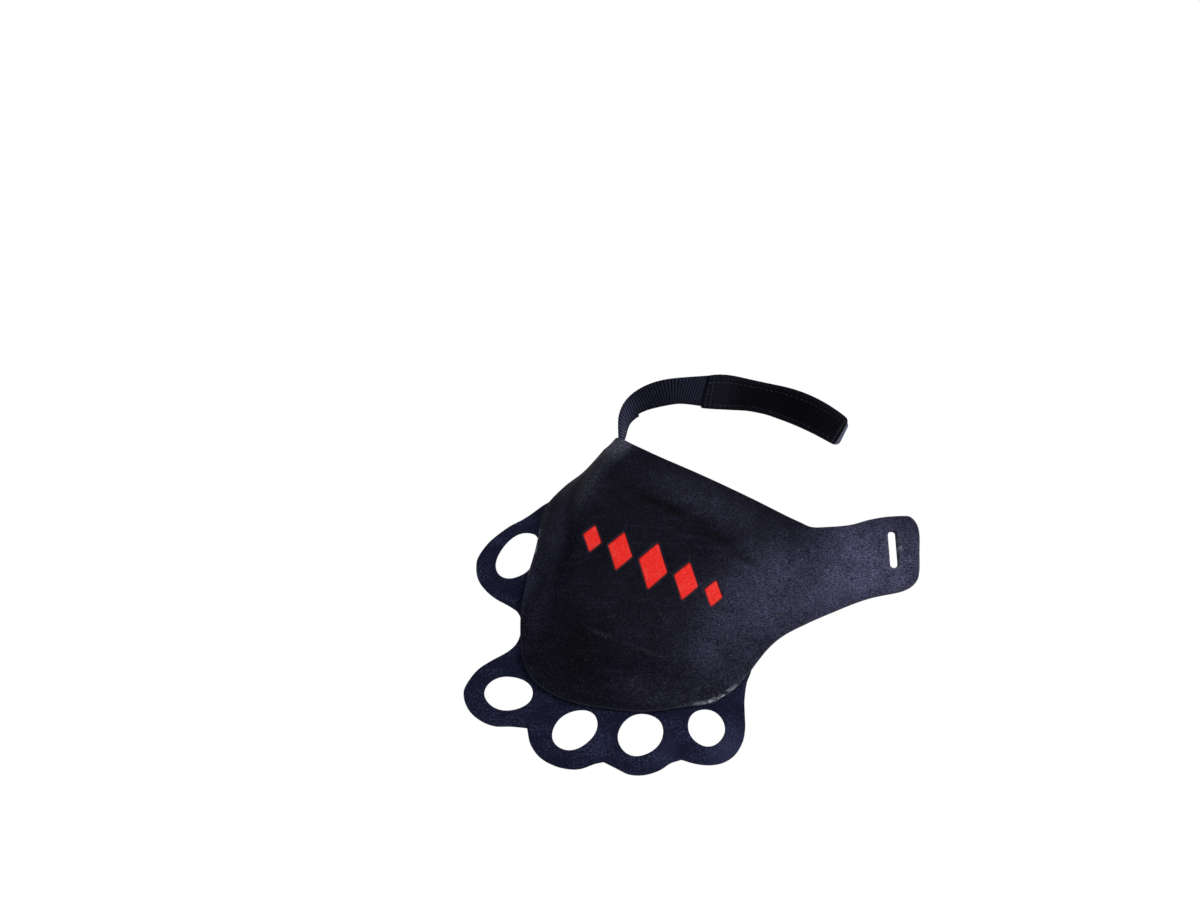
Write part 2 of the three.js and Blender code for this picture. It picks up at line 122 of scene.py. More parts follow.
@dataclass(frozen=True)
class BentForm:
    """The surface on which the glove's sheets lie, over a flat pattern of (across, along) millimetres."""

    stations: tuple[Station, ...] = (
        Station(-30, -49, 0, 4, 1),
        Station(-6, -49.5, 0, 8, 1.5),
        Station(12, -49.5, 1.5, 12, 4),
        Station(32, -50.5, 8.5, 30, 9),
        Station(52, -52.5, 13.5, 37, 11),
        Station(70, -55.5, 15.5, 38, 11.5),
        Station(82, -56, 16.5, 56, 11.5),
        Station(94, -53.9, 16.5, 77, 11.5),
        Station(107, -50.6, 16.5, 81, 11.5),
        Station(130, -44.6, 16.5, 82, 11.5),
    )
    origin: Triple = (-23.43, -63.95, 0.0)
    hand_angle: float = 22.0
    ridge_rounding: float = 1.1
    least_rounding: float = 0.0005
    flank_foot_rounding: float = 1.25
    slope_foot_rounding: float = 3.6
    side_blend: float = 4.0
    crease_along: float = 80.5
    crease_half: float = 6.5
    crease_depth: float = 1.6
    crease_rise: tuple[float, float] = (-8, 14)
    crease_fall: tuple[float, float] = (44, 78)
    tab_drop: float = 1.3
    tab_drop_zone: tuple[float, float] = (96, 114)
    tab_lift: float = 2.5
    tab_direction: tuple[float, float] = (0.87, 0.49)
    tab_lift_zone: tuple[float, float] = (145, 178)
    chords: int = 64
    least_arc: float = 1e-9
    least_run: float = 0.02
    normal_step: float = 0.4

    def station_value(self, name: str, along: np.ndarray) -> np.ndarray:
        """One quantity of the stations at each distance along the hand, by a cubic through them.

        Args:
            name: the quantity's field in Station.
            along: distances along the hand.

        Returns:
            One value for each distance.
        """
        x = np.array([s.along for s in self.stations], float)
        y = np.array([getattr(s, name) for s in self.stations], float)
        last = len(x) - 1
        before = np.maximum(np.arange(last + 1) - 1, 0)
        after = np.minimum(np.arange(last + 1) + 1, last)
        tangent = (y[after] - y[before]) / (x[after] - x[before])
        i = np.clip(np.searchsorted(x, along) - 1, 0, last - 1)
        span = x[i + 1] - x[i]
        t = (along - x[i]) / span
        t2, t3 = t * t, t * t * t
        return (
            (2 * t3 - 3 * t2 + 1) * y[i]
            + (t3 - 2 * t2 + t) * tangent[i] * span
            + (3 * t2 - 2 * t3) * y[i + 1]
            + (t3 - t2) * tangent[i + 1] * span
        )

    def section_height(self, across: np.ndarray, along: np.ndarray) -> np.ndarray:
        """The height of the cross-section at an arc distance from its ridge.

        Args:
            across: arc distances from the ridge line.
            along: distances along the hand.

        Returns:
            One height for each pair.
        """
        top = self.station_value("height", along)
        flank = np.radians(self.station_value("flank", along))
        slope = np.radians(self.station_value("slope", along))
        crest = self.ridge_rounding * np.sin(flank + slope) + self.least_rounding
        roof = rounded_min(top + np.sin(flank) * across, top - np.sin(slope) * across, crest)
        side = smooth_step(across, -self.side_blend, self.side_blend)
        foot = (1 - side) * self.flank_foot_rounding * np.sin(flank)
        foot = foot + side * self.slope_foot_rounding * np.sin(slope)
        return rounded_max(roof, np.zeros_like(roof), foot)

    def local_height(self, across: np.ndarray, along: np.ndarray) -> np.ndarray:
        """The wrist crease, the tab's rest on the ground and its slightly raised end.

        Args:
            across: arc distances from the ridge line.
            along: distances along the hand.

        Returns:
            What each pair adds to the height.
        """
        fold = np.exp(-(((along - self.crease_along) / self.crease_half) ** 2))
        weight = smooth_step(across, *self.crease_rise) * (1 - smooth_step(across, *self.crease_fall))
        reach = self.tab_direction[0] * across + self.tab_direction[1] * along
        lift = self.tab_lift * smooth_step(reach, *self.tab_lift_zone)
        drop = self.tab_drop * smooth_step(across, *self.tab_drop_zone)
        return lift - self.crease_depth * fold * weight - drop

    def base(self, across: np.ndarray, along: np.ndarray) -> np.ndarray:
        """The form's own points for arrays of pattern coordinates.

        Args:
            across: arc distances from the ridge line.
            along: distances along the hand.

        Returns:
            One row of x, y, z for each pair.
        """
        share = np.linspace(0.0, 1.0, self.chords + 1)[:, None]
        rows = np.broadcast_to(along, (self.chords + 1, len(along)))
        heights = self.section_height(share * across[None, :], rows)
        step = np.where(np.abs(across) < self.least_arc, self.least_arc, across) / self.chords
        fall = np.diff(heights, axis=0) / step
        run = np.sqrt(np.maximum(1 - fall * fall, self.least_run)) * step
        reach = self.station_value("ridge", along) + run.sum(axis=0)
        angle = math.radians(self.hand_angle)
        x = self.origin[0] + reach * math.cos(angle) + along * math.sin(angle)
        y = self.origin[1] - reach * math.sin(angle) + along * math.cos(angle)
        return np.stack([x, y, heights[-1] + self.local_height(across, along)], axis=1)

    def directions(
        self, across: np.ndarray, along: np.ndarray
    ) -> tuple[np.ndarray, np.ndarray, np.ndarray]:
        """The unit directions across, along and outward at pattern points.

        Args:
            across: arc distances from the ridge line.
            along: distances along the hand.

        Returns:
            Three arrays with one row for each pair.
        """
        e = self.normal_step
        d_across = unit(self.base(across + e, along) - self.base(across - e, along))
        d_along = unit(self.base(across, along + e) - self.base(across, along - e))
        return d_across, d_along, unit(np.cross(d_across, d_along))

    def layer(self, across: np.ndarray, along: np.ndarray, distance: np.ndarray) -> np.ndarray:
        """Points at a distance outward from the form."""
        outward = self.directions(across, along)[2]
        return self.base(across, along) + outward * np.asarray(distance)[:, None]


@dataclass(frozen=True)
class Ripple:
    """One slow wave of the relief, by how fast its phase and its swell grow for each millimetre."""

    share: float
    across: float
    along: float
    start: float
    wobble: float
    wobble_along: float
    swell_along: float
    swell_start: float

    def height(self, across: np.ndarray, along: np.ndarray) -> np.ndarray:
        """The wave's height at each pattern point.

        Args:
            across: arc distances from the ridge line.
            along: distances along the hand.

        Returns:
            One height for each pair.
        """
        phase = across * self.across + along * self.along + self.start
        phase = phase + self.wobble * np.sin(along * self.wobble_along)
        return self.share * np.sin(phase) * np.sin(along * self.swell_along + self.swell_start)


@dataclass(frozen=True)
class FlexMark:
    """One long dent or swelling: its middle, its half sizes, its height and its tilt in degrees."""

    across: float
    along: float
    long_half: float
    short_half: float
    rise: float
    tilt: float

    def height(self, across: np.ndarray, along: np.ndarray) -> np.ndarray:
        """The mark's height at each pattern point.

        Args:
            across: arc distances from the ridge line.
            along: distances along the hand.

        Returns:
            One height for each pair.
        """
        c, s = math.cos(math.radians(self.tilt)), math.sin(math.radians(self.tilt))
        du, db = across - self.across, along - self.along
        p, q = (du * c + db * s) / self.long_half, (db * c - du * s) / self.short_half
        return self.rise * np.exp(-(p * p) - q * q)


@dataclass(frozen=True)
class SmallRelief:
    """Shallow dents and waves that the soft sheets keep from being worn and packed."""

    wave_height: float = 0.16
    ripples: tuple[Ripple, ...] = (
        Ripple(
            share=1.0, across=0.115, along=0.0, start=1.3,
            wobble=0.8, wobble_along=0.07, swell_along=0.094, swell_start=0.4,
        ),
        Ripple(
            share=0.6, across=0.21, along=-0.13, start=2.1,
            wobble=0.0, wobble_along=0.0, swell_along=0.051, swell_start=1.9,
        ),
    )
    flex_marks: tuple[FlexMark, ...] = (
        FlexMark(22, 24.8, 9, 1.3, -0.3, -3),
        FlexMark(57, 34, 11, 1.3, -0.28, 23),
        FlexMark(34, 87, 26, 1.8, -0.75, -2),
        FlexMark(64, 82.5, 15, 1.7, -0.8, -13),
        FlexMark(70, 75, 16, 3.0, 0.45, -14),
        FlexMark(30, 96, 24, 2.2, 0.2, -9),
        FlexMark(78, 92, 20, 4.0, -0.3, -9),
        FlexMark(104, 84, 16, 6.0, 0.35, -9),
    )

    def height(self, across: np.ndarray, along: np.ndarray) -> np.ndarray:
        """The relief's height at each pattern point.

        Args:
            across: arc distances from the ridge line.
            along: distances along the hand.

        Returns:
            One height for each pair.
        """
        total = self.wave_height * sum(ripple.height(across, along) for ripple in self.ripples)
        for mark in self.flex_marks:
            total = total + mark.height(across, along)
        return total


# Outlines on the flat pattern


@dataclass(frozen=True)
class Outline:
    """A closed outline through marked points, smooth except at the corners."""

    points: tuple[tuple[float, float], ...]
    corners: frozenset[int] = frozenset()

    def sampled(self, step: float) -> np.ndarray:
        """The outline in even steps.

        Args:
            step: the wanted distance between two points.

        Returns:
            One row for each point, without the closing one.
        """
        points = np.array(self.points + self.points[:1], float)
        stops = sorted(self.corners | {0, len(self.points)})
        rows = []
        for first, last in zip(stops[:-1], stops[1:]):
            rows.append(self._stretch(points[first : last + 1], step)[:-1])
        return np.concatenate(rows)

    @staticmethod
    def _stretch(points: np.ndarray, step: float) -> np.ndarray:
        """A centripetal cubic through the points of one smooth stretch, in even steps.

        Args:
            points: the stretch's marked points.
            step: the wanted distance between two points.

        Returns:
            One row for each point, with both ends.
        """
        fine = points
        if len(points) > 2:
            ends = [2 * points[:1] - points[1:2], points, 2 * points[-1:] - points[-2:-1]]
            control = np.concatenate(ends)
            spans = np.linalg.norm(np.diff(control, axis=0), axis=1)
            knots = np.concatenate([[0.0], np.cumsum(np.sqrt(spans))])
            pieces = []
            for i in range(1, len(control) - 2):
                t = np.linspace(knots[i], knots[i + 1], CURVE_SAMPLES)[:-1, None]
                k, p = knots[i - 1 : i + 3], control[i - 1 : i + 3]
                a1 = ((k[1] - t) * p[0] + (t - k[0]) * p[1]) / (k[1] - k[0])
                a2 = ((k[2] - t) * p[1] + (t - k[1]) * p[2]) / (k[2] - k[1])
                a3 = ((k[3] - t) * p[2] + (t - k[2]) * p[3]) / (k[3] - k[2])
                b1 = ((k[2] - t) * a1 + (t - k[0]) * a2) / (k[2] - k[0])
                b2 = ((k[3] - t) * a2 + (t - k[1]) * a3) / (k[3] - k[1])
                pieces.append(((k[2] - t) * b1 + (t - k[1]) * b2) / (k[2] - k[1]))
            fine = np.concatenate(pieces + [points[-1:]])
        total = lengths_along(fine)[-1]
        return points_at(fine, np.linspace(0.0, total, max(2, int(round(total / step)) + 1)))


@dataclass(frozen=True)
class Ellipse:
    """An elliptical opening: its centre, half axes and tilt."""

    centre: tuple[float, float]
    half: tuple[float, float]
    tilt: float
    unevenness: float = 0.012
    lobes: tuple[int, int] = (3, 5)
    second_share: float = 0.6

    def sampled(self, step: float) -> np.ndarray:
        """The opening's rim in even steps, cut a little unevenly by hand.

        Args:
            step: the wanted distance between two points.

        Returns:
            One row for each point, without the closing one.
        """
        count = int(2 * math.pi * max(self.half) / step)
        t = np.linspace(0, 2 * math.pi, count, endpoint=False)
        first = np.sin(self.lobes[0] * t + self.centre[0])
        second = np.sin(self.lobes[1] * t + self.centre[1])
        grow = 1 + self.unevenness * (first + self.second_share * second)
        p, q = self.half[0] * np.cos(t) * grow, self.half[1] * np.sin(t) * grow
        c, s = math.cos(math.radians(self.tilt)), math.sin(math.radians(self.tilt))
        return np.stack([self.centre[0] + p * c - q * s, self.centre[1] + p * s + q * c], axis=1)


@dataclass(frozen=True)
class Slot:
    """A long narrow opening with round ends."""

    ends: tuple[tuple[float, float], tuple[float, float]]
    half_width: float
    end_points: int = 13

    def sampled(self, step: float) -> np.ndarray:
        """The slot's rim in even steps.

        Args:
            step: the wanted distance between two points.

        Returns:
            One row for each point, without the closing one.
        """
        start, end = (np.array(p, float) for p in self.ends)
        heading = math.atan2(*(end - start)[::-1])
        rows = []
        for centre, turn in ((end, -0.5), (start, 0.5)):
            t = heading + math.pi * np.linspace(turn, turn + 1, self.end_points)
            rows.append(centre + self.half_width * np.stack([np.cos(t), np.sin(t)], axis=1))
        corners = frozenset({self.end_points - 1, self.end_points, 2 * self.end_points - 1})
        return Outline(tuple(map(tuple, np.concatenate(rows))), corners).sampled(step)


@dataclass(frozen=True)
class LozengeRow:
    """A row of lozenges side by side across the hand."""

    centre: tuple[float, float] = (36, 60)
    gap: float = 2.5
    sizes: tuple[tuple[float, float], ...] = ((9, 13), (12, 18), (14, 22), (12, 18), (9, 13))
    corner_round: float = 0.7
    corner_points: int = 7
    fewest_points: int = 24

    def outlines(self, margin: float, step: float) -> list[np.ndarray]:
        """Each lozenge, grown by a margin, with its corners rounded.

        Args:
            margin: how far each side moves outward.
            step: the distance between two points of an outline.

        Returns:
            One array of points for each lozenge.
        """
        total = sum(w for w, _ in self.sizes) + self.gap * (len(self.sizes) - 1)
        left = self.centre[0] - total / 2
        found = []
        for width, height in self.sizes:
            at = np.array([left + width / 2, self.centre[1]])
            left += width + self.gap
            grow = (margin - self.corner_round) * math.hypot(width, height) / (width * height)
            half = np.array([width, height]) * (0.5 + grow)
            corners = at + half * np.array([[-1, 0], [0, -1], [1, 0], [0, 1]])
            found.append(self._rounded(corners, step))
        return found

    def _rounded(self, corners: np.ndarray, step: float) -> np.ndarray:
        """A convex outline moved outward by the corners' radius, with arcs at its corners.

        Args:
            corners: the outline's corners, anticlockwise.
            step: the wanted distance between two points.

        Returns:
            One row for each point, without the closing one.
        """
        rows = []
        count = len(corners)
        for i in range(count):
            before, here, after = corners[i - 1], corners[i], corners[(i + 1) % count]
            normals = []
            for side in (here - before, after - here):
                normals.append(math.atan2(-side[0], side[1]))
            turn = (normals[1] - normals[0]) % (2 * math.pi)
            angles = normals[0] + np.linspace(0, turn, self.corner_points)
            rows.append(here + self.corner_round * np.stack([np.cos(angles), np.sin(angles)], axis=1))
        points = np.concatenate(rows)
        ring = np.concatenate([points, points[:1]])
        total = lengths_along(ring)[-1]
        number = max(self.fewest_points, int(total / step))
        return points_at(ring, np.linspace(0, total, number, endpoint=False))


# Meshes


def signed_area(loop: np.ndarray) -> float:
    """The area inside a loop, positive when it runs anticlockwise."""
    x, y = loop[:, 0], loop[:, 1]
    return 0.5 * float(np.sum(x * np.roll(y, -1) - np.roll(x, -1) * y))


def inside(points: np.ndarray, loops: list[np.ndarray]) -> np.ndarray:
    """Which points lie in the material, by counting the loops' crossings.

    Args:
        points: places on the flat pattern.
        loops: the sheet's outline and its openings.

    Returns:
        True or false for each point.
    """
    odd = np.zeros(len(points), bool)
    for loop in loops:
        after = np.roll(loop, -1, axis=0)
        for (x0, y0), (x1, y1) in zip(loop, after):
            if y0 == y1:
                continue
            level = (points[:, 1] >= min(y0, y1)) & (points[:, 1] < max(y0, y1))
            cross = x0 + (points[:, 1] - y0) * (x1 - x0) / (y1 - y0)
            odd ^= level & (points[:, 0] < cross)
    return odd


def distance_to(points: np.ndarray, loops: list[np.ndarray]) -> np.ndarray:
    """Each point's distance to the nearest point of the loops.

    Args:
        points: places on the flat pattern.
        loops: the sheet's outline and its openings.

    Returns:
        One distance for each point.
    """
    rim = np.concatenate(loops)
    found = np.empty(len(points))
    for start in range(0, len(points), POINTS_AT_ONCE):
        part = points[start : start + POINTS_AT_ONCE]
        squares = ((part[:, None, :] - rim[None, :, :]) ** 2).sum(axis=2)
        found[start : start + POINTS_AT_ONCE] = np.sqrt(squares.min(axis=1))
    return found


def mesh_object(
    name: str, vertices: np.ndarray, faces: list[tuple[int, ...]], material: bpy.types.Material
) -> bpy.types.Object:
    """A smooth-shaded object at the origin, from vertices in millimetres.

    Args:
        name: the object's name.
        vertices: one row of x, y, z for each.
        faces: the numbers of each face's vertices.
        material: its finish.

    Returns:
        The object, in the scene.
    """
    mesh = bpy.data.meshes.new(name)
    mesh.from_pydata([tuple(v) for v in np.asarray(vertices) * MM], [], faces)
    mesh.validate()
    mesh.polygons.foreach_set("use_smooth", [True] * len(mesh.polygons))
    mesh.materials.append(material)
    mesh.update()
    piece = bpy.data.objects.new(name, mesh)
    bpy.context.collection.objects.link(piece)
    return piece


def add_flat_map(piece: bpy.types.Object, flat: np.ndarray) -> None:
    """Keeps each vertex's place on the flat pattern, in metres, as a UV map.

    Args:
        piece: the object.
        flat: each vertex's place, in millimetres.
    """
    layer = piece.data.uv_layers.new(name=FLAT_MAP)
    corner = np.empty(len(piece.data.loops), int)
    piece.data.loops.foreach_get("vertex_index", corner)
    layer.uv.foreach_set("vector", (flat[corner] * MM).astype(np.float32).ravel())


def add_mark(piece: bpy.types.Object, name: str, values: np.ndarray) -> None:
    """Keeps one number for each vertex."""
    mark = piece.data.attributes.new(name, "FLOAT", "POINT")
    mark.data.foreach_set("value", values.astype(np.float32))


@dataclass(frozen=True)
class SheetCut:
    """A sheet cut from flat stock, with rounded cut edges, and bent over the form."""

    outline: np.ndarray
    openings: list[np.ndarray]
    lower: float
    upper: float
    spacing: float = 1.3
    row_share: float = 0.866
    rim_clearance: float = 0.6
    weld: float = 1e-5
    edge_round: float = 0.3
    edge_steps: int = 3
    lean: tuple[float, float] = (0.0, 0.0)
    lean_reach: float = 5.0

    def loops(self) -> list[np.ndarray]:
        """The outline anticlockwise and the openings clockwise, so that the material is on their left.

        Returns:
            The outline first, then the openings.
        """
        outer = self.outline if signed_area(self.outline) > 0 else self.outline[::-1]
        inner = [o if signed_area(o) < 0 else o[::-1] for o in self.openings]
        return [outer, *inner]

    def area(self) -> float:
        """The flat area, in square millimetres."""
        return sum(signed_area(loop) for loop in self.loops())

    @staticmethod
    def _inset(loop: np.ndarray, by: float) -> np.ndarray:
        """A loop moved into the material."""
        along = unit(np.roll(loop, -1, axis=0) - np.roll(loop, 1, axis=0))
        return loop + by * np.stack([-along[:, 1], along[:, 0]], axis=1)

    def _face_points(self, loops: list[np.ndarray]) -> np.ndarray:
        """Points over the material in staggered rows, clear of its edges.

        Args:
            loops: the sheet's outline and its openings.

        Returns:
            One row for each point.
        """
        low, high = self.outline.min(axis=0), self.outline.max(axis=0)
        rows = np.arange(low[1], high[1], self.spacing * self.row_share)
        grid = []
        for k, y in enumerate(rows):
            x = np.arange(low[0] + (k % 2) * self.spacing / 2, high[0], self.spacing)
            grid.append(np.stack([x, np.full(len(x), y)], axis=1))
        points = np.concatenate(grid)
        points = points[inside(points, loops)]
        return points[distance_to(points, loops) > self.rim_clearance * self.spacing]

    def flat_faces(self) -> tuple[np.ndarray, np.ndarray, list[np.ndarray]]:
        """The flat face of the sheet as triangles.

        Returns:
            The points, the triangles, and for each loop the numbers of its points.
        """
        loops = [self._inset(loop, self.edge_round) for loop in self.loops()]
        points = np.concatenate([*loops, self._face_points(loops)])
        edges, numbers, start = [], [], 0
        for loop in loops:
            ring = np.arange(start, start + len(loop))
            numbers.append(ring)
            edges += list(zip(ring.tolist(), np.roll(ring, -1).tolist()))
            start += len(loop)
        made = delaunay_2d_cdt([Vector(p) for p in points], edges, [], 0, self.weld)
        found = np.array([tuple(v) for v in made[0]])
        renumber = {old: new for new, olds in enumerate(made[3]) for old in olds}
        triangles = np.array([tuple(f) for f in made[2]])
        triangles = triangles[inside(found[triangles].mean(axis=1), loops)]
        a, b, c = (found[triangles[:, k]] for k in range(3))
        along, up = b - a, c - a
        turned = along[:, 0] * up[:, 1] - along[:, 1] * up[:, 0] < 0
        triangles[turned] = triangles[turned][:, ::-1]
        return found, triangles, [np.array([renumber[i] for i in ring.tolist()]) for ring in numbers]

    def build(
        self, name: str, form: BentForm, relief: SmallRelief | None, material: bpy.types.Material
    ) -> bpy.types.Object:
        """The bent sheet as one closed mesh.

        Args:
            name: the object's name.
            form: the surface that it follows.
            relief: small dents on top of that, or None.
            material: its finish.

        Returns:
            The object, with its flat map and its distance to the cut edge.
        """
        face, triangles, rings = self.flat_faces()
        count = len(face)
        flat = [face, face]
        level = [np.full(count, self.upper), np.full(count, self.lower)]
        faces = [tuple(t) for t in triangles.tolist()]
        faces += [tuple(count + i for i in t[::-1]) for t in triangles.tolist()]
        bends = np.linspace(0, math.pi / 2, self.edge_steps + 1)[1:]
        r = self.edge_round
        total = 2 * count
        for loop, ring in zip(self.loops(), rings):
            size = len(loop)
            rows = [ring]
            profile = [(r * (1 - math.sin(t)), self.upper - r * (1 - math.cos(t))) for t in bends]
            profile += [(r * (1 - math.sin(t)), self.lower + r * (1 - math.cos(t))) for t in bends[::-1]]
            for inset, height in profile:
                flat.append(self._inset(loop, inset))
                level.append(np.full(size, height))
                rows.append(np.arange(total, total + size))
                total += size
            rows.append(ring + count)
            for upper, lower in zip(rows[:-1], rows[1:]):
                quads = zip(upper, lower, np.roll(lower, -1), np.roll(upper, -1))
                faces += [tuple(int(i) for i in q) for q in quads]
        flat_all, level_all = np.concatenate(flat), np.concatenate(level)
        if any(self.lean):
            near = 1 - np.clip(distance_to(flat_all, self.openings[:1]) / self.lean_reach, 0, 1)
            depth = (self.upper - level_all) / (self.upper - self.lower)
            flat_all = flat_all + (near * depth)[:, None] * np.array(self.lean)
        if relief is not None:
            level_all = level_all + relief.height(flat_all[:, 0], flat_all[:, 1])
        vertices = form.layer(flat_all[:, 0], flat_all[:, 1], level_all)
        piece = mesh_object(name, vertices, faces, material)
        add_flat_map(piece, flat_all)
        add_mark(piece, RIM_MARK, distance_to(flat_all, self.loops()))
        return piece


# Shader trees


@dataclass(frozen=True)
class Noise:
    """A noise texture's scale, detail and roughness."""

    scale: float
    detail: float
    rough: float


@dataclass(frozen=True)
class Ramp:
    """A smooth mapping from one range of values to another."""

    low: float
    high: float
    to_low: float = 0.0
    to_high: float = 1.0


@dataclass(frozen=True)
class Stretch:
    """How coordinates are scaled along three directions and turned in the plane, in degrees."""

    scale: Triple
    turn: float = 0.0


@dataclass(frozen=True)
class Bump:
    """A bump's strength and its depth in metres."""

    strength: float
    distance: float


class ShaderTree:
    """A small helper that adds and links nodes of one tree."""

    def __init__(self, tree: bpy.types.NodeTree) -> None:
        """Starts from an existing tree."""
        self.tree = tree

    def link(self, source: bpy.types.NodeSocket, target: bpy.types.NodeSocket) -> None:
        """Links two sockets."""
        self.tree.links.new(source, target)

    def set_socket(self, socket: bpy.types.NodeSocket, value: object) -> None:
        """Gives one input its value or link.

        Args:
            socket: the input.
            value: a plain value, or an output to link.
        """
        if isinstance(value, bpy.types.NodeSocket):
            self.link(value, socket)
        else:
            socket.default_value = value

    def fill(self, node: bpy.types.Node, inputs: dict) -> bpy.types.Node:
        """Gives a node's inputs their values or links.

        Args:
            node: the node.
            inputs: values or outputs, by the inputs' names or numbers.

        Returns:
            The same node.
        """
        for name, value in inputs.items():
            self.set_socket(node.inputs[name], value)
        return node

    def add(self, kind: str, inputs: dict | None = None, **settings: object) -> bpy.types.Node:
        """One node with its settings and its input values or links.

        Args:
            kind: the node's type.
            inputs: values or outputs, by the inputs' names or numbers.
            settings: the node's own settings.

        Returns:
            The new node.
        """
        node = self.tree.nodes.new(kind)
        for name, value in settings.items():
            setattr(node, name, value)
        return self.fill(node, inputs or {})

    def object_place(self) -> bpy.types.NodeSocket:
        """The place on the piece, in its own coordinates."""
        return self.add("ShaderNodeTexCoord").outputs["Object"]

    def flat_place(self) -> bpy.types.NodeSocket:
        """The place on the flat pattern, in metres."""
        return self.add("ShaderNodeUVMap", uv_map=FLAT_MAP).outputs["UV"]

    def rim_distance(self) -> bpy.types.NodeSocket:
        """The distance to the nearest cut edge, in millimetres."""
        return self.add("ShaderNodeAttribute", attribute_name=RIM_MARK).outputs["Fac"]

    def math(self, kind: str, *values: object, clamp: bool = False) -> bpy.types.NodeSocket:
        """The result of one Math node."""
        inputs = dict(enumerate(values))
        return self.add("ShaderNodeMath", inputs, operation=kind, use_clamp=clamp).outputs[0]

    def vector(self, kind: str, *values: object) -> bpy.types.Node:
        """One Vector Math node."""
        return self.add("ShaderNodeVectorMath", dict(enumerate(values)), operation=kind)

    def mix(self, factor: object, first: object, second: object) -> bpy.types.NodeSocket:
        """A blend of two colours."""
        node = self.add("ShaderNodeMix", {0: factor, 6: first, 7: second}, data_type="RGBA")
        return node.outputs[2]

    def scaled(self, colour: object, factor: object) -> bpy.types.NodeSocket:
        """A colour or vector multiplied by a factor."""
        return self.add("ShaderNodeVectorMath", {0: colour, "Scale": factor}, operation="SCALE").outputs[0]

    def ramp(self, value: object, kind: Ramp) -> bpy.types.NodeSocket:
        """A value mapped smoothly from one range to another.

        Args:
            value: an output.
            kind: both ranges.

        Returns:
            The mapped value.
        """
        inputs = {"Value": value, "From Min": kind.low, "From Max": kind.high}
        inputs |= {"To Min": kind.to_low, "To Max": kind.to_high}
        return self.add("ShaderNodeMapRange", inputs, interpolation_type="SMOOTHSTEP").outputs[0]

    def noise(self, vector: object, kind: Noise, scale: object = None) -> bpy.types.NodeSocket:
        """The grey value of a noise texture, at its own scale or at another one.

        Args:
            vector: the coordinates.
            kind: the texture's settings.
            scale: the other scale, or None.

        Returns:
            The grey value.
        """
        inputs = {"Vector": vector, "Detail": kind.detail, "Roughness": kind.rough}
        inputs["Scale"] = kind.scale if scale is None else scale
        return self.add("ShaderNodeTexNoise", inputs).outputs["Fac"]

    def stretched(self, vector: object, kind: Stretch) -> bpy.types.NodeSocket:
        """Coordinates scaled, and turned in the plane."""
        inputs = {"Vector": vector, "Scale": kind.scale, "Rotation": (0, 0, math.radians(kind.turn))}
        return self.add("ShaderNodeMapping", inputs).outputs[0]

    def bump(self, height: object, kind: Bump) -> bpy.types.NodeSocket:
        """A normal from a height."""
        inputs = {"Height": height, "Strength": kind.strength, "Distance": kind.distance}
        return self.add("ShaderNodeBump", inputs).outputs[0]


class Group:
    """A shader node group with named inputs and outputs."""

    def __init__(self, name: str, inputs: dict[str, tuple[str, object]], outputs: dict[str, str]) -> None:
        """Makes the group's sockets.

        Args:
            name: the group's name.
            inputs: each input's socket type and usual value.
            outputs: each output's socket type.
        """
        self.tree = bpy.data.node_groups.new(name, "ShaderNodeTree")
        for label, (kind, value) in inputs.items():
            socket = self.tree.interface.new_socket(label, in_out="INPUT", socket_type=kind)
            if value is not None:
                socket.default_value = value
        for label, kind in outputs.items():
            self.tree.interface.new_socket(label, in_out="OUTPUT", socket_type=kind)
        self.nodes = ShaderTree(self.tree)
        self.source = self.tree.nodes.new("NodeGroupInput")
        self.result = self.tree.nodes.new("NodeGroupOutput")

    def put_out(self, **sockets: bpy.types.NodeSocket) -> None:
        """Links the group's outputs."""
        for label, socket in sockets.items():
            self.tree.links.new(socket, self.result.inputs[label])

    def place(self, tree: ShaderTree, inputs: dict) -> bpy.types.bpy_prop_collection:
        """This group as a node in a material.

        Args:
            tree: the material's tree.
            inputs: values or outputs, by the inputs' names.

        Returns:
            The node's outputs.
        """
        node = tree.tree.nodes.new("ShaderNodeGroup")
        node.node_tree = self.tree
        return tree.fill(node, inputs).outputs


def soft_patch_group() -> Group:
    """A soft-edged patch of the flat pattern, broken up by cloudy noise.

    Returns:
        The group, which puts out Mask.
    """
    group = Group(
        "SoftPatch",
        {
            "Vector": ("NodeSocketVector", None),
            "Centre": ("NodeSocketVector", (0, 0, 0)),
            "Half Sizes": ("NodeSocketVector", (0.03, 0.03, 1)),
            "Strength": ("NodeSocketFloat", 1.0),
            "Cloudiness": ("NodeSocketFloat", 0.35),
        },
        {"Mask": "NodeSocketFloat"},
    )
    nodes, source = group.nodes, group.source.outputs
    offset = nodes.vector("SUBTRACT", source["Vector"], source["Centre"]).outputs[0]
    scaled = nodes.vector("DIVIDE", offset, source["Half Sizes"]).outputs[0]
    far = nodes.vector("LENGTH", scaled).outputs["Value"]
    cloud = nodes.math("SUBTRACT", nodes.noise(source["Vector"], Noise(55.0, 4.0, 0.6)), 0.5)
    blurred = nodes.math("MULTIPLY_ADD", cloud, source["Cloudiness"], far)
    soft = nodes.ramp(blurred, Ramp(1.0, 0.0))
    group.put_out(Mask=nodes.math("MULTIPLY", soft, source["Strength"]))
    return group


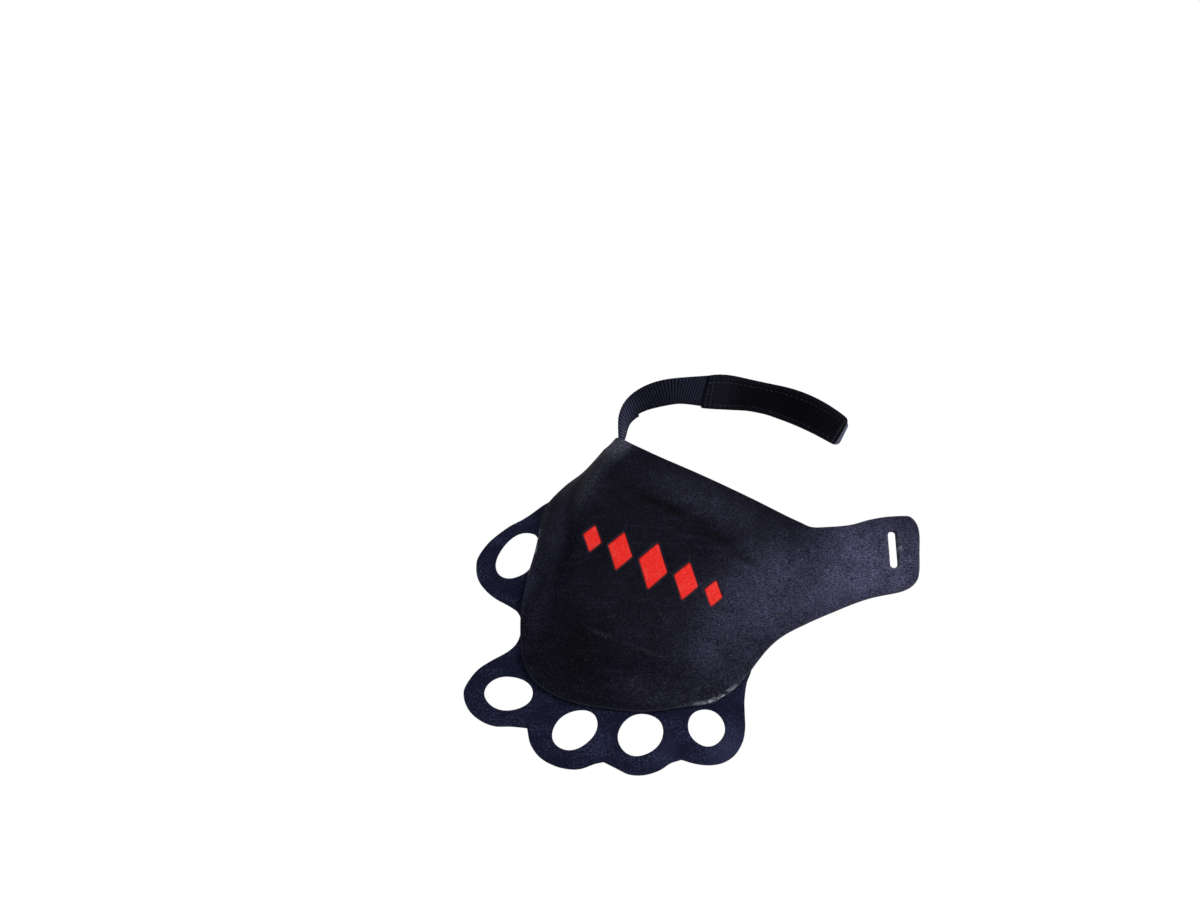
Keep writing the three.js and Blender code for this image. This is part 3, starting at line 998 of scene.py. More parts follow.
def edge_wear_group() -> Group:
    """A worn line near a cut edge, uneven along its length.

    Returns:
        The group, which puts out Mask.
    """
    group = Group(
        "EdgeWear",
        {
            "Vector": ("NodeSocketVector", None),
            "Width": ("NodeSocketFloat", 0.8),
            "Amount": ("NodeSocketFloat", 0.5),
        },
        {"Mask": "NodeSocketFloat"},
    )
    nodes, source = group.nodes, group.source.outputs
    near = nodes.ramp(nodes.math("DIVIDE", nodes.rim_distance(), source["Width"]), Ramp(1.0, 0.0))
    broken = nodes.ramp(nodes.noise(source["Vector"], Noise(240.0, 5.0, 0.7)), Ramp(0.42, 0.66))
    long_broken = nodes.ramp(nodes.noise(source["Vector"], Noise(38.0, 2.0, 0.5)), Ramp(0.38, 0.62))
    mask = nodes.math("MULTIPLY", nodes.math("MULTIPLY", near, broken), long_broken)
    group.put_out(Mask=nodes.math("MULTIPLY", mask, source["Amount"]))
    return group


def fine_grain_group() -> Group:
    """A grain drawn out along one direction, seen as mottle, with a fine speckle on it.

    Returns:
        The group, which puts out Height, Mottle and Speckle.
    """
    group = Group(
        "FineGrain",
        {
            "Vector": ("NodeSocketVector", None),
            "Scale": ("NodeSocketFloat", 1150.0),
            "Speckle Scale": ("NodeSocketFloat", 1500.0),
            "Contrast": ("NodeSocketFloat", 0.5),
        },
        {"Height": "NodeSocketFloat", "Mottle": "NodeSocketFloat", "Speckle": "NodeSocketFloat"},
    )
    nodes, source = group.nodes, group.source.outputs
    streaks = nodes.stretched(source["Vector"], Stretch((0.65, 1.0, 1.0), 5.0))
    brushed = nodes.noise(streaks, Noise(1150.0, 4.0, 0.7), source["Scale"])
    dots = nodes.noise(source["Vector"], Noise(1500.0, 2.0, 0.5), source["Speckle Scale"])
    gain, least_mottle, dot_height = 6.0, 0.2, 0.6
    signed = nodes.math("MULTIPLY", nodes.math("SUBTRACT", brushed, 0.5), gain)
    mottle = nodes.math("MULTIPLY_ADD", signed, source["Contrast"], 1.0)
    group.put_out(
        Height=nodes.math("MULTIPLY_ADD", dots, dot_height, brushed),
        Mottle=nodes.math("MAXIMUM", mottle, least_mottle),
        Speckle=nodes.ramp(dots, Ramp(0.56, 0.72)),
    )
    return group


@dataclass(frozen=True)
class Patch:
    """One lighter or darker area of a sheet, for dust, wear, painted light or painted shade, by its place
    on the flat pattern in millimetres.
    """

    centre: tuple[float, float]
    half: tuple[float, float]
    strength: float


@dataclass(frozen=True)
class SharedGroups:
    """The node groups that several finishes use."""

    patch: Group
    wear: Group
    grain: Group

    @classmethod
    def made(cls) -> "SharedGroups":
        """Builds each group once."""
        return cls(soft_patch_group(), edge_wear_group(), fine_grain_group())


def new_material(name: str) -> tuple[bpy.types.Material, ShaderTree, bpy.types.Node]:
    """A material with an empty Principled shader, its tree helper and the shader.

    Args:
        name: the material's name.

    Returns:
        The material, the helper and the shader.
    """
    material = bpy.data.materials.new(name)
    material.use_nodes = True
    shader = material.node_tree.nodes["Principled BSDF"]
    return material, ShaderTree(material.node_tree), shader


def patches_mask(
    tree: ShaderTree, groups: SharedGroups, vector: bpy.types.NodeSocket, patches: tuple[Patch, ...]
) -> bpy.types.NodeSocket:
    """The sum of several soft patches, at most 1.

    Args:
        tree: the material's tree.
        groups: the shared node groups.
        vector: the place on the flat pattern.
        patches: the patches to add.

    Returns:
        The mask.
    """
    total: object = 0.0
    for patch in patches:
        inputs = {
            "Vector": vector,
            "Centre": (patch.centre[0] * MM, patch.centre[1] * MM, 0.0),
            "Half Sizes": (patch.half[0] * MM, patch.half[1] * MM, 1.0),
            "Strength": patch.strength,
        }
        total = tree.math("ADD", total, groups.patch.place(tree, inputs)["Mask"], clamp=True)
    return total


@dataclass(frozen=True)
class RubberFinish:
    """The back panel's thin rubber: nearly black, with dust and painted sheen, chalk haze and a painted
    highlight on the root corner and ridge, painted shade along the wrist crease and beside the ridge,
    scuffed at its edge.
    """

    deep: Colour = (0.0028, 0.0026, 0.0078, 1)
    # Paler blue of dust and of painted sheen.
    dust_and_sheen_tint: Colour = (0.056, 0.056, 0.108, 1)
    scuffed: Colour = (0.34, 0.35, 0.42, 1)
    # Grey of chalk haze and of a painted highlight.
    chalk_and_highlight_tint: Colour = (0.105, 0.107, 0.125, 1)
    cut_edge: Colour = (0.045, 0.046, 0.070, 1)
    # Where dust and painted sheen lie: strongest on the tab, fading to the left, and on the root corner,
    # the ridge and the thumb-side flank.
    dust_and_sheen: tuple[Patch, ...] = (
        Patch((124, 100), (50, 46), 0.82),
        Patch((90, 68), (40, 40), 0.42),
        Patch((72, 38), (30, 34), 0.3),
        Patch((50, 97), (60, 12), 0.12),
        Patch((-1, 105), (9, 12), 0.5),
        Patch((0, 84), (6, 24), 0.16),
        Patch((-8, 60), (9, 26), 0.28),
        Patch((-15, 40), (8, 36), 0.3),
        Patch((-5, 28), (8, 26), 0.18),
        Patch((-12, 88), (7, 22), 0.22),
        Patch((40, 36), (42, 30), 0.07),
        Patch((56, 8), (32, 14), 0.14),
        Patch((22, 24.8), (9, 1.6), 0.2),
    )
    # Chalk haze with a painted highlight: on the root corner, along the ridge, on the thumb-side edge and
    # on two flex marks.
    chalk_and_highlight: tuple[Patch, ...] = (
        Patch((-2, 104), (8, 13), 0.36),
        Patch((-1, 84), (4, 24), 0.2),
        Patch((-17, 62), (4, 24), 0.14),
        Patch((22, 24.8), (8, 1.4), 0.1),
        Patch((46, 25), (18, 1.6), 0.07),
    )
    shade: tuple[Patch, ...] = (
        Patch((30, 87.5), (30, 4), 0.7),
        Patch((56, 84), (17, 3.2), 0.75),
        Patch((73, 80), (12, 3.2), 0.6),
        Patch((16, 15), (24, 26), 0.6),
        Patch((12, 66), (9, 26), 0.35),
        Patch((40, 42), (46, 34), 0.2),
    )
    scuffs: tuple[Patch, ...] = (
        Patch((76, 15), (15, 13), 1.0),
        Patch((86, 30), (7, 14), 1.0),
        Patch((60, 7), (18, 7), 0.7),
        Patch((126, 106), (12, 14), 0.3),
        Patch((-19, 56), (4, 26), 0.9),
    )
    grain_scale: float = 1500.0
    grain_contrast: float = 0.95
    clouds: Noise = Noise(48.0, 5.0, 0.62)
    cloud_range: Ramp = Ramp(0.36, 0.66, 0.7, 1.3)
    brushing: Noise = Noise(260.0, 3.0, 0.6)
    brush_stretch: Stretch = Stretch((0.35, 1.0, 1.0), 8.0)
    streak_range: Ramp = Ramp(0.45, 0.75, 0.0, 0.06)
    # How much more speckle shows where dust and painted sheen lie.
    speck_in_dust_and_sheen: float = 0.2
    speck_least: float = 0.035
    edge_width: float = 2.0
    edge_amount: float = 2.6
    flecks: Noise = Noise(1300.0, 3.0, 0.65)
    fleck_range: Ramp = Ramp(0.6, 0.74, 0.0, 0.35)
    cut_range: Ramp = Ramp(0.7, 0.1, 0.0, 0.4)
    rough_range: Ramp = Ramp(0.5, 1.1, 0.5, 0.68)
    waves: Noise = Noise(90.0, 3.0, 0.5)
    wave_height: float = 3.0
    bump: Bump = Bump(0.5, 0.0001)
    specular: float = 0.05

    def make(self, groups: SharedGroups) -> bpy.types.Material:
        """The finish as a material.

        Args:
            groups: the shared node groups.

        Returns:
            The material.
        """
        material, tree, shader = new_material("Rubber")
        place, flat = tree.object_place(), tree.flat_place()
        grain_inputs = {"Vector": place, "Scale": self.grain_scale, "Contrast": self.grain_contrast}
        grain = groups.grain.place(tree, grain_inputs)
        clouds = tree.ramp(tree.noise(place, self.clouds), self.cloud_range)
        brushed = tree.noise(tree.stretched(place, self.brush_stretch), self.brushing)
        streaks = tree.ramp(brushed, self.streak_range)
        # Dust and painted sheen, broken up by clouds and streaks.
        dust_and_sheen = patches_mask(tree, groups, flat, self.dust_and_sheen)
        dust_and_sheen_share = tree.math("MULTIPLY_ADD", dust_and_sheen, clouds, streaks, clamp=True)
        colour = tree.mix(dust_and_sheen_share, self.deep, self.dust_and_sheen_tint)
        # Chalk haze and painted highlight laid over that colour.
        chalk_and_highlight = patches_mask(tree, groups, flat, self.chalk_and_highlight)
        colour = tree.mix(tree.math("MULTIPLY", chalk_and_highlight, clouds, clamp=True), colour, self.chalk_and_highlight_tint)
        shaded = tree.math("SUBTRACT", 1.0, patches_mask(tree, groups, flat, self.shade))
        colour = tree.scaled(colour, tree.math("MULTIPLY", shaded, grain["Mottle"]))
        speck_share = tree.math("MULTIPLY_ADD", dust_and_sheen_share, self.speck_in_dust_and_sheen, self.speck_least)
        speck = tree.math("MULTIPLY", grain["Speckle"], speck_share)
        colour = tree.mix(speck, colour, self.scuffed)
        edge_inputs = {"Vector": place, "Width": self.edge_width, "Amount": self.edge_amount}
        near_edge = groups.wear.place(tree, edge_inputs)["Mask"]
        flecks = tree.ramp(tree.noise(place, self.flecks), self.fleck_range)
        worn = tree.math("ADD", near_edge, flecks)
        scuffs = patches_mask(tree, groups, flat, self.scuffs)
        scuffed = tree.math("MULTIPLY", worn, scuffs, clamp=True)
        cut = tree.ramp(tree.rim_distance(), self.cut_range)
        colour = tree.mix(scuffed, tree.mix(cut, colour, self.cut_edge), self.scuffed)
        waves = tree.noise(place, self.waves)
        height = tree.math("MULTIPLY_ADD", waves, self.wave_height, grain["Height"])
        inputs = {
            "Base Color": colour,
            "Roughness": tree.ramp(grain["Height"], self.rough_range),
            "Normal": tree.bump(height, self.bump),
            "Specular IOR Level": self.specular,
        }
        tree.fill(shader, inputs)
        return material


@dataclass(frozen=True)
class SuedeFinish:
    """The loop sheet's soft cloth: dark blue-black with a short nap, paler at the cut rims, with painted
    light on the little-finger side.
    """

    deep: Colour = (0.0062, 0.0070, 0.0205, 1)
    raised: Colour = (0.039, 0.043, 0.098, 1)
    rim: Colour = (0.035, 0.038, 0.075, 1)
    # Painted light: lightest on the little-finger side and fading to the left, with a faint patch by the
    # thumb loop.
    light_falloff_patches: tuple[Patch, ...] = (
        Patch((91, -3), (15, 18), 0.42),
        Patch((66, -15), (9, 14), 0.22),
        Patch((40, -22), (8, 12), 0.14),
        Patch((-28, 62), (16, 14), 0.15),
    )
    nap: Noise = Noise(1100.0, 4.0, 0.75)
    nap_range: Ramp = Ramp(0.47, 0.62)
    brushing: Noise = Noise(130.0, 4.0, 0.6)
    brush_stretch: Stretch = Stretch((0.5, 1.0, 1.0), 30.0)
    brush_range: Ramp = Ramp(0.32, 0.68, 0.1, 1.0)
    brush_height: float = 1.5
    rim_width: float = 0.9
    rim_amount: float = 0.7
    bump: Bump = Bump(0.6, 0.00012)
    roughness: float = 0.92
    specular: float = 0.04
    sheen: float = 0.04
    sheen_roughness: float = 0.5

    def make(self, groups: SharedGroups) -> bpy.types.Material:
        """The finish as a material.

        Args:
            groups: the shared node groups.

        Returns:
            The material.
        """
        material, tree, shader = new_material("Suede")
        place, flat = tree.object_place(), tree.flat_place()
        nap = tree.noise(place, self.nap)
        brushed = tree.noise(tree.stretched(place, self.brush_stretch), self.brushing)
        brushed_share = tree.ramp(brushed, self.brush_range)
        raised = tree.math("MULTIPLY", tree.ramp(nap, self.nap_range), brushed_share)
        # Painted light added to the raised nap's share.
        raised = tree.math("ADD", raised, patches_mask(tree, groups, flat, self.light_falloff_patches), clamp=True)
        colour = tree.mix(raised, self.deep, self.raised)
        edge_inputs = {"Vector": place, "Width": self.rim_width, "Amount": self.rim_amount}
        colour = tree.mix(groups.wear.place(tree, edge_inputs)["Mask"], colour, self.rim)
        height = tree.math("MULTIPLY_ADD", brushed, self.brush_height, nap)
        inputs = {
            "Base Color": colour,
            "Normal": tree.bump(height, self.bump),
            "Roughness": self.roughness,
            "Specular IOR Level": self.specular,
            "Sheen Weight": self.sheen,
            "Sheen Roughness": self.sheen_roughness,
        }
        tree.fill(shader, inputs)
        return material


@dataclass(frozen=True)
class InlayFinish:
    """The inlays' red rubber, finely speckled, a little worn, with painted shade at the rim where it sits
    below the window's edge.
    """

    bright: Colour = (0.80, 0.012, 0.007, 1)
    pale: Colour = (0.86, 0.10, 0.09, 1)
    # Dark red of the painted shade at the rim, in the recess under the window's edge.
    rim: Colour = (0.16, 0.008, 0.008, 1)
    grain_contrast: float = 0.14
    wear: Noise = Noise(150.0, 5.0, 0.65)
    wear_range: Ramp = Ramp(0.45, 0.75, 0.0, 0.35)
    speck_share: float = 0.6
    recess_shade_range: Ramp = Ramp(0.75, 0.2, 0.0, 0.75)
    bump: Bump = Bump(0.5, 0.00007)
    roughness: float = 0.5
    specular: float = 0.15

    def make(self, groups: SharedGroups) -> bpy.types.Material:
        """The finish as a material.

        Args:
            groups: the shared node groups.

        Returns:
            The material.
        """
        material, tree, shader = new_material("RedInlay")
        place = tree.object_place()
        grain = groups.grain.place(tree, {"Vector": place, "Contrast": self.grain_contrast})
        worn = tree.ramp(tree.noise(place, self.wear), self.wear_range)
        pale = tree.math("MULTIPLY_ADD", grain["Speckle"], self.speck_share, worn, clamp=True)
        colour = tree.scaled(tree.mix(pale, self.bright, self.pale), grain["Mottle"])
        # Painted shade near the rim of the recessed inlay.
        rim = tree.ramp(tree.rim_distance(), self.recess_shade_range)
        inputs = {
            "Base Color": tree.mix(rim, colour, self.rim),
            "Normal": tree.bump(grain["Height"], self.bump),
            "Roughness": self.roughness,
            "Specular IOR Level": self.specular,
        }
        tree.fill(shader, inputs)
        return material


@dataclass(frozen=True)
class WebbingFinish:
    """Woven tape: dark yarns, with a painted highlight along the top of each rib, paler at the sealed end.
    """

    name: str = "Webbing"
    deep: Colour = (0.0036, 0.0036, 0.0095, 1)
    lit: Colour = (0.085, 0.090, 0.185, 1)
    sealed_from: float = 124.5
    # Where the painted highlight on the rib tops shows: strongest at the strap's root, where it catches
    # the light.
    worn: tuple[Patch, ...] = (Patch((4, 0), (30, 16), 1.0), Patch((52, 0), (60, 30), 0.22))
    sealed: Colour = (0.095, 0.10, 0.15, 1)
    sealed_blend: float = 0.2
    yarn_pitch: float = 0.55
    rib_pitch: float = 1.27
    rib_range: Ramp = Ramp(0.45, 0.98)
    fibre: Noise = Noise(1400.0, 3.0, 0.6)
    fibre_stretch: Stretch = Stretch((1.0, 4.0, 1.0))
    fibre_height: float = 0.8
    height_range: Ramp = Ramp(0.2, 1.4, 0.55, 1.0)
    bump: Bump = Bump(0.6, 0.0001)
    roughness: float = 0.7
    specular: float = 0.06

    def make(self, groups: SharedGroups) -> bpy.types.Material:
        """The finish as a material.

        Args:
            groups: the shared node groups.

        Returns:
            The material.
        """
        material, tree, shader = new_material(self.name)
        flat = tree.flat_place()
        parts = tree.add("ShaderNodeSeparateXYZ", {"Vector": flat}).outputs
        turns = tree.math("MULTIPLY", parts["Y"], 2 * math.pi / (self.yarn_pitch * MM))
        yarn = tree.math("MULTIPLY_ADD", tree.math("SINE", turns), 0.5, 0.5)
        fibre = tree.noise(tree.stretched(flat, self.fibre_stretch), self.fibre)
        height = tree.math("MULTIPLY_ADD", fibre, self.fibre_height, yarn)
        rib_turns = tree.math("MULTIPLY", parts["X"], math.pi / (self.rib_pitch * MM))
        rib = tree.math("ABSOLUTE", tree.math("COSINE", rib_turns))
        high_yarn = tree.ramp(height, self.height_range)
        crest = tree.math("MULTIPLY", tree.ramp(rib, self.rib_range), high_yarn)
        # Painted highlight on the rib crests, where the patches in worn place it.
        lit = tree.math("MULTIPLY", crest, patches_mask(tree, groups, flat, self.worn))
        sealed_start = (self.sealed_from - self.sealed_blend) * MM
        sealed = tree.ramp(parts["X"], Ramp(sealed_start, self.sealed_from * MM))
        inputs = {
            "Base Color": tree.mix(sealed, tree.mix(lit, self.deep, self.lit), self.sealed),
            "Normal": tree.bump(height, self.bump),
            "Roughness": self.roughness,
            "Specular IOR Level": self.specular,
        }
        tree.fill(shader, inputs)
        return material


# Painted highlight on the hook tape's rib crests, near its start and along both long edges.
PATCH_RIB_HIGHLIGHTS = (
    Patch((64, 0), (15, 15), 0.7),
    Patch((94, 7.2), (70, 2.6), 0.5),
    Patch((94, -7.2), (70, 2.2), 0.4),
)


@dataclass(frozen=True)
class PlainYarnFinish:
    """The hooks and the stitches: one yarn colour with a slight mottle."""

    name: str
    colour: Colour
    lighter: Colour
    roughness: float
    mottle: Noise = Noise(900.0, 3.0, 0.6)
    mottle_range: Ramp = Ramp(0.35, 0.7)
    specular: float = 0.03

    def make(self) -> bpy.types.Material:
        """The finish as a material.

        Returns:
            The material.
        """
        material, tree, shader = new_material(self.name)
        mottle = tree.ramp(tree.noise(tree.object_place(), self.mottle), self.mottle_range)
        inputs = {
            "Base Color": tree.mix(mottle, self.colour, self.lighter),
            "Roughness": self.roughness,
            "Specular IOR Level": self.specular,
        }
        tree.fill(shader, inputs)
        return material


# Small repeated pieces


class SmallPiece(Enum):
    """The small pieces that are repeated along the strap."""

    STITCH = "stitch"
    HOOK = "hook"


@dataclass(frozen=True)
class Places:
    """Where small pieces go: points in millimetres, with a heading and an outward direction each."""

    points: np.ndarray
    headings: np.ndarray
    outward: np.ndarray

    def as_mesh(self, name: str) -> bpy.types.Object:
        """The places as a mesh of loose points that keep their two directions.

        Args:
            name: the object's name.

        Returns:
            The object, in the scene.
        """
        mesh = bpy.data.meshes.new(name)
        mesh.from_pydata([tuple(p) for p in self.points * MM], [], [])
        for label, values in (("heading", self.headings), ("outward", self.outward)):
            mark = mesh.attributes.new(label, "FLOAT_VECTOR", "POINT")
            mark.data.foreach_set("vector", values.astype(np.float32).ravel())
        piece = bpy.data.objects.new(name, mesh)
        bpy.context.collection.objects.link(piece)
        return piece


@dataclass(frozen=True)
class PieceSize:
    """A small piece's size in millimetres, how much it and its turn vary, and the seed of that."""

    length: float
    width: float
    height: float
    size_jitter: float
    turn_jitter: float
    seed: int

    def inputs(self) -> dict[str, float | int]:
        """The values of the tree's named inputs.

        Returns:
            The values, by the inputs' names.
        """
        return {
            "Length": self.length * MM,
            "Width": self.width * MM,
            "Height": self.height * MM,
            "Size Jitter": self.size_jitter,
            "Turn Jitter": self.turn_jitter,
            "Seed": self.seed,
        }


@dataclass(frozen=True)
class Repeater:
    """A Geometry Nodes tree that sets one small piece at each place."""

    kind: SmallPiece
    usual: PieceSize = PieceSize(
        length=1.8, width=0.5, height=0.4, size_jitter=0.0, turn_jitter=0.0, seed=7
    )
    unit_radius: float = 0.5
    hook_start: float = -20.0
    hook_sweep: float = 220.0
    hook_points: int = 6
    wire_radius: float = 0.16
    wire_points: int = 4
    ball_segments: int = 8
    ball_rings: int = 6

    def tree(self) -> bpy.types.GeometryNodeTree:
        """Builds the tree with its named inputs.

        Returns:
            The tree.
        """
        tree = bpy.data.node_groups.new("Repeat " + self.kind.value, "GeometryNodeTree")
        face = tree.interface
        face.new_socket("Geometry", in_out="INPUT", socket_type="NodeSocketGeometry")
        for label, value in self.usual.inputs().items():
            kind = "NodeSocketInt" if isinstance(value, int) else "NodeSocketFloat"
            face.new_socket(label, in_out="INPUT", socket_type=kind).default_value = value
        face.new_socket("Material", in_out="INPUT", socket_type="NodeSocketMaterial")
        face.new_socket("Geometry", in_out="OUTPUT", socket_type="NodeSocketGeometry")
        nodes = ShaderTree(tree)
        source = tree.nodes.new("NodeGroupInput").outputs
        inputs = {
            "Points": nodes.add("GeometryNodeMeshToPoints", {"Mesh": source["Geometry"]}).outputs[0],
            "Instance": self._unit_piece(nodes),
            "Rotation": self._rotation(nodes, source),
            "Scale": self._scale(nodes, source),
        }
        placed = nodes.add("GeometryNodeInstanceOnPoints", inputs).outputs[0]
        real = nodes.add("GeometryNodeRealizeInstances", {"Geometry": placed}).outputs[0]
        smooth = nodes.add("GeometryNodeSetShadeSmooth", {"Geometry": real}).outputs[0]
        inputs = {"Geometry": smooth, "Material": source["Material"]}
        dressed = nodes.add("GeometryNodeSetMaterial", inputs).outputs[0]
        nodes.add("NodeGroupOutput", {"Geometry": dressed})
        return tree

    @staticmethod
    def _random(
        nodes: ShaderTree, low: object, high: object, seed: bpy.types.NodeSocket
    ) -> bpy.types.NodeSocket:
        """A random number between two limits, one for each place.

        Args:
            nodes: the tree's helper.
            low: the lower limit, plain or linked.
            high: the upper limit, plain or linked.
            seed: the seed's socket.

        Returns:
            The number.
        """
        node = nodes.add("FunctionNodeRandomValue", {"Seed": seed}, data_type="FLOAT")
        limits = {"Min": low, "Max": high}
        for socket in node.inputs:
            if socket.name in limits and socket.type == "VALUE":
                nodes.set_socket(socket, limits[socket.name])
        return next(socket for socket in node.outputs if socket.type == "VALUE")

    def _rotation(
        self, nodes: ShaderTree, source: bpy.types.bpy_prop_collection
    ) -> bpy.types.NodeSocket:
        """Each piece's turn: outward, along its heading, and a little off that.

        Args:
            nodes: the tree's helper.
            source: the outputs of the tree's input node.

        Returns:
            The rotation.
        """
        axes = {}
        for axis, name in (("Primary Axis", "outward"), ("Secondary Axis", "heading")):
            node = nodes.add("GeometryNodeInputNamedAttribute", {"Name": name}, data_type="FLOAT_VECTOR")
            axes[axis] = node.outputs[0]
        turn = nodes.add("FunctionNodeAxesToRotation", axes, primary_axis="Z", secondary_axis="X")
        low = nodes.math("MULTIPLY", source["Turn Jitter"], -1.0)
        spin = self._random(nodes, low, source["Turn Jitter"], source["Seed"])
        angle = nodes.add("ShaderNodeCombineXYZ", {"Z": spin}).outputs[0]
        extra = nodes.add("FunctionNodeEulerToRotation", {0: angle}).outputs[0]
        turns = {0: turn.outputs[0], 1: extra}
        return nodes.add("FunctionNodeRotateRotation", turns, rotation_space="LOCAL").outputs[0]

    def _scale(
        self, nodes: ShaderTree, source: bpy.types.bpy_prop_collection
    ) -> bpy.types.NodeSocket:
        """Each piece's size, with some a little smaller.

        Args:
            nodes: the tree's helper.
            source: the outputs of the tree's input node.

        Returns:
            The scale.
        """
        low = nodes.math("SUBTRACT", 1.0, source["Size Jitter"])
        grow = self._random(nodes, low, 1.0, source["Seed"])
        sizes = {"X": source["Length"], "Y": source["Width"], "Z": source["Height"]}
        return nodes.scaled(nodes.add("ShaderNodeCombineXYZ", sizes).outputs[0], grow)

    def _unit_piece(self, nodes: ShaderTree) -> bpy.types.NodeSocket:
        """The piece at unit size, with X along its heading and Z outward.

        Args:
            nodes: the tree's helper.

        Returns:
            The geometry.
        """
        quarter = math.radians(90)
        if self.kind is SmallPiece.HOOK:
            inputs = {
                "Resolution": self.hook_points,
                "Radius": self.unit_radius,
                "Start Angle": math.radians(self.hook_start),
                "Sweep Angle": math.radians(self.hook_sweep),
            }
            arc = nodes.add("GeometryNodeCurveArc", inputs, mode="RADIUS").outputs[0]
            inputs = {"Geometry": arc, "Rotation": (quarter, 0, 0)}
            upright = nodes.add("GeometryNodeTransform", inputs).outputs[0]
            inputs = {"Resolution": self.wire_points, "Radius": self.wire_radius}
            ring = nodes.add("GeometryNodeCurvePrimitiveCircle", inputs, mode="RADIUS").outputs[0]
            inputs = {"Curve": upright, "Profile Curve": ring, "Fill Caps": True}
            return nodes.add("GeometryNodeCurveToMesh", inputs).outputs[0]
        inputs = {"Segments": self.ball_segments, "Rings": self.ball_rings, "Radius": self.unit_radius}
        ball = nodes.add("GeometryNodeMeshUVSphere", inputs).outputs[0]
        inputs = {"Geometry": ball, "Rotation": (0, quarter, 0)}
        return nodes.add("GeometryNodeTransform", inputs).outputs[0]

    def build(
        self, name: str, places: Places, size: PieceSize, material: bpy.types.Material
    ) -> bpy.types.Object:
        """The repeated pieces as one plain mesh.

        Args:
            name: the object's name.
            places: where the pieces go.
            size: their size, how much it varies, and the seed.
            material: their finish.

        Returns:
            The finished object.
        """
        seeds = places.as_mesh(name + "_places")
        modifier = seeds.modifiers.new("Repeat", "NODES")
        modifier.node_group = self.tree()
        wanted = size.inputs() | {"Material": material}
        for item in modifier.node_group.interface.items_tree:
            if item.in_out == "INPUT" and item.name in wanted:
                modifier[item.identifier] = wanted[item.name]
        evaluated = seeds.evaluated_get(bpy.context.evaluated_depsgraph_get())
        mesh = bpy.data.meshes.new_from_object(evaluated)
        mesh.name = name
        seeds.modifiers.clear()
        bpy.data.objects.remove(seeds)
        piece = bpy.data.objects.new(name, mesh)
        bpy.context.collection.objects.link(piece)
        return piece


# The strap


@dataclass(frozen=True)
class Rate:
    """The strap's bend, twist and sway at one distance along it, in degrees for each 10 mm."""

    at: float
    bend: float
    twist: float
    sway: float


@dataclass(frozen=True)
class StrapPath:
    """The strap's course: sewn under the panel first, then curling round and lying down."""

    form: BentForm
    root_across: float = -10.9
    root_from: float = 94.0
    root_to: float = 107.0
    centre: float = -1.0
    length: float = 126.0
    rate_length: float = 10.0
    rates: tuple[Rate, ...] = (
        Rate(0, -20, -43, 34.5),
        Rate(4, -58, -24.5, 34.5),
        Rate(9, -15, -6, -8),
        Rate(15, 38.5, -3.5, -34.5),
        Rate(22, 47.5, -10.5, 4),
        Rate(30, 21.5, -15, 1.5),
        Rate(42, -20.5, 3, -32),
        Rate(56, -0.5, -22, 0.5),
        Rate(74, 20, -19, -9.5),
        Rate(92, 6, 11.5, -8.5),
        Rate(110, -6, -8.5, -7),
        Rate(126, -25, -20, 15),
    )

    def rate_at(self, name: str, s: float) -> float:
        """One of the three rates, in radians for each millimetre.

        Args:
            name: bend, twist or sway.
            s: the distance along the strap.

        Returns:
            The rate.
        """
        stations = [rate.at for rate in self.rates]
        value = np.interp(s, stations, [getattr(rate, name) for rate in self.rates])
        return math.radians(float(value)) / self.rate_length

    def frames(self) -> tuple[np.ndarray, np.ndarray, np.ndarray, np.ndarray]:
        """Distances, middle points, headings and width directions, one row for each millimetre.

        Returns:
            The four arrays.
        """
        along = np.linspace(self.root_from, self.root_to, int(self.root_to - self.root_from) + 1)
        across = np.full(len(along), self.root_across)
        wide, heading, _ = self.form.directions(across, along)
        wide = unit(wide - heading * (wide * heading).sum(axis=1, keepdims=True))
        points = self.form.layer(across, along, np.full(len(along), self.centre))
        rows = [(b - self.root_to, p, h, w) for b, p, h, w in zip(along, points, heading, wide)]
        point, toward, side = (Vector(x) for x in rows[-1][1:])
        for i in range(int(self.length)):
            bend, twist, sway = (self.rate_at(name, i + 0.5) for name in ("bend", "twist", "sway"))
            turn = toward * twist - side * bend + toward.cross(side) * sway
            rotation = Matrix.Identity(3)
            if turn.length > TINY:
                rotation = Matrix.Rotation(turn.length, 3, turn.normalized())
            after = (rotation @ toward).normalized()
            side = (rotation @ side).normalized()
            point = point + (toward + after) * 0.5
            toward = after
            rows.append((i + 1.0, np.array(point), np.array(toward), np.array(side)))
        return tuple(np.array([row[k] for row in rows], float) for k in range(4))

    def at(self, distances: np.ndarray) -> tuple[np.ndarray, np.ndarray, np.ndarray, np.ndarray]:
        """Middle points, headings, width directions and face directions at given distances.

        Args:
            distances: distances along the strap.

        Returns:
            The four arrays, one row for each distance.
        """
        s, *lines = self.frames()
        point, heading, wide = (
            np.stack([np.interp(distances, s, line[:, k]) for k in range(3)], axis=1) for line in lines
        )
        heading, wide = unit(heading), unit(wide)
        return point, heading, wide, unit(np.cross(heading, wide))


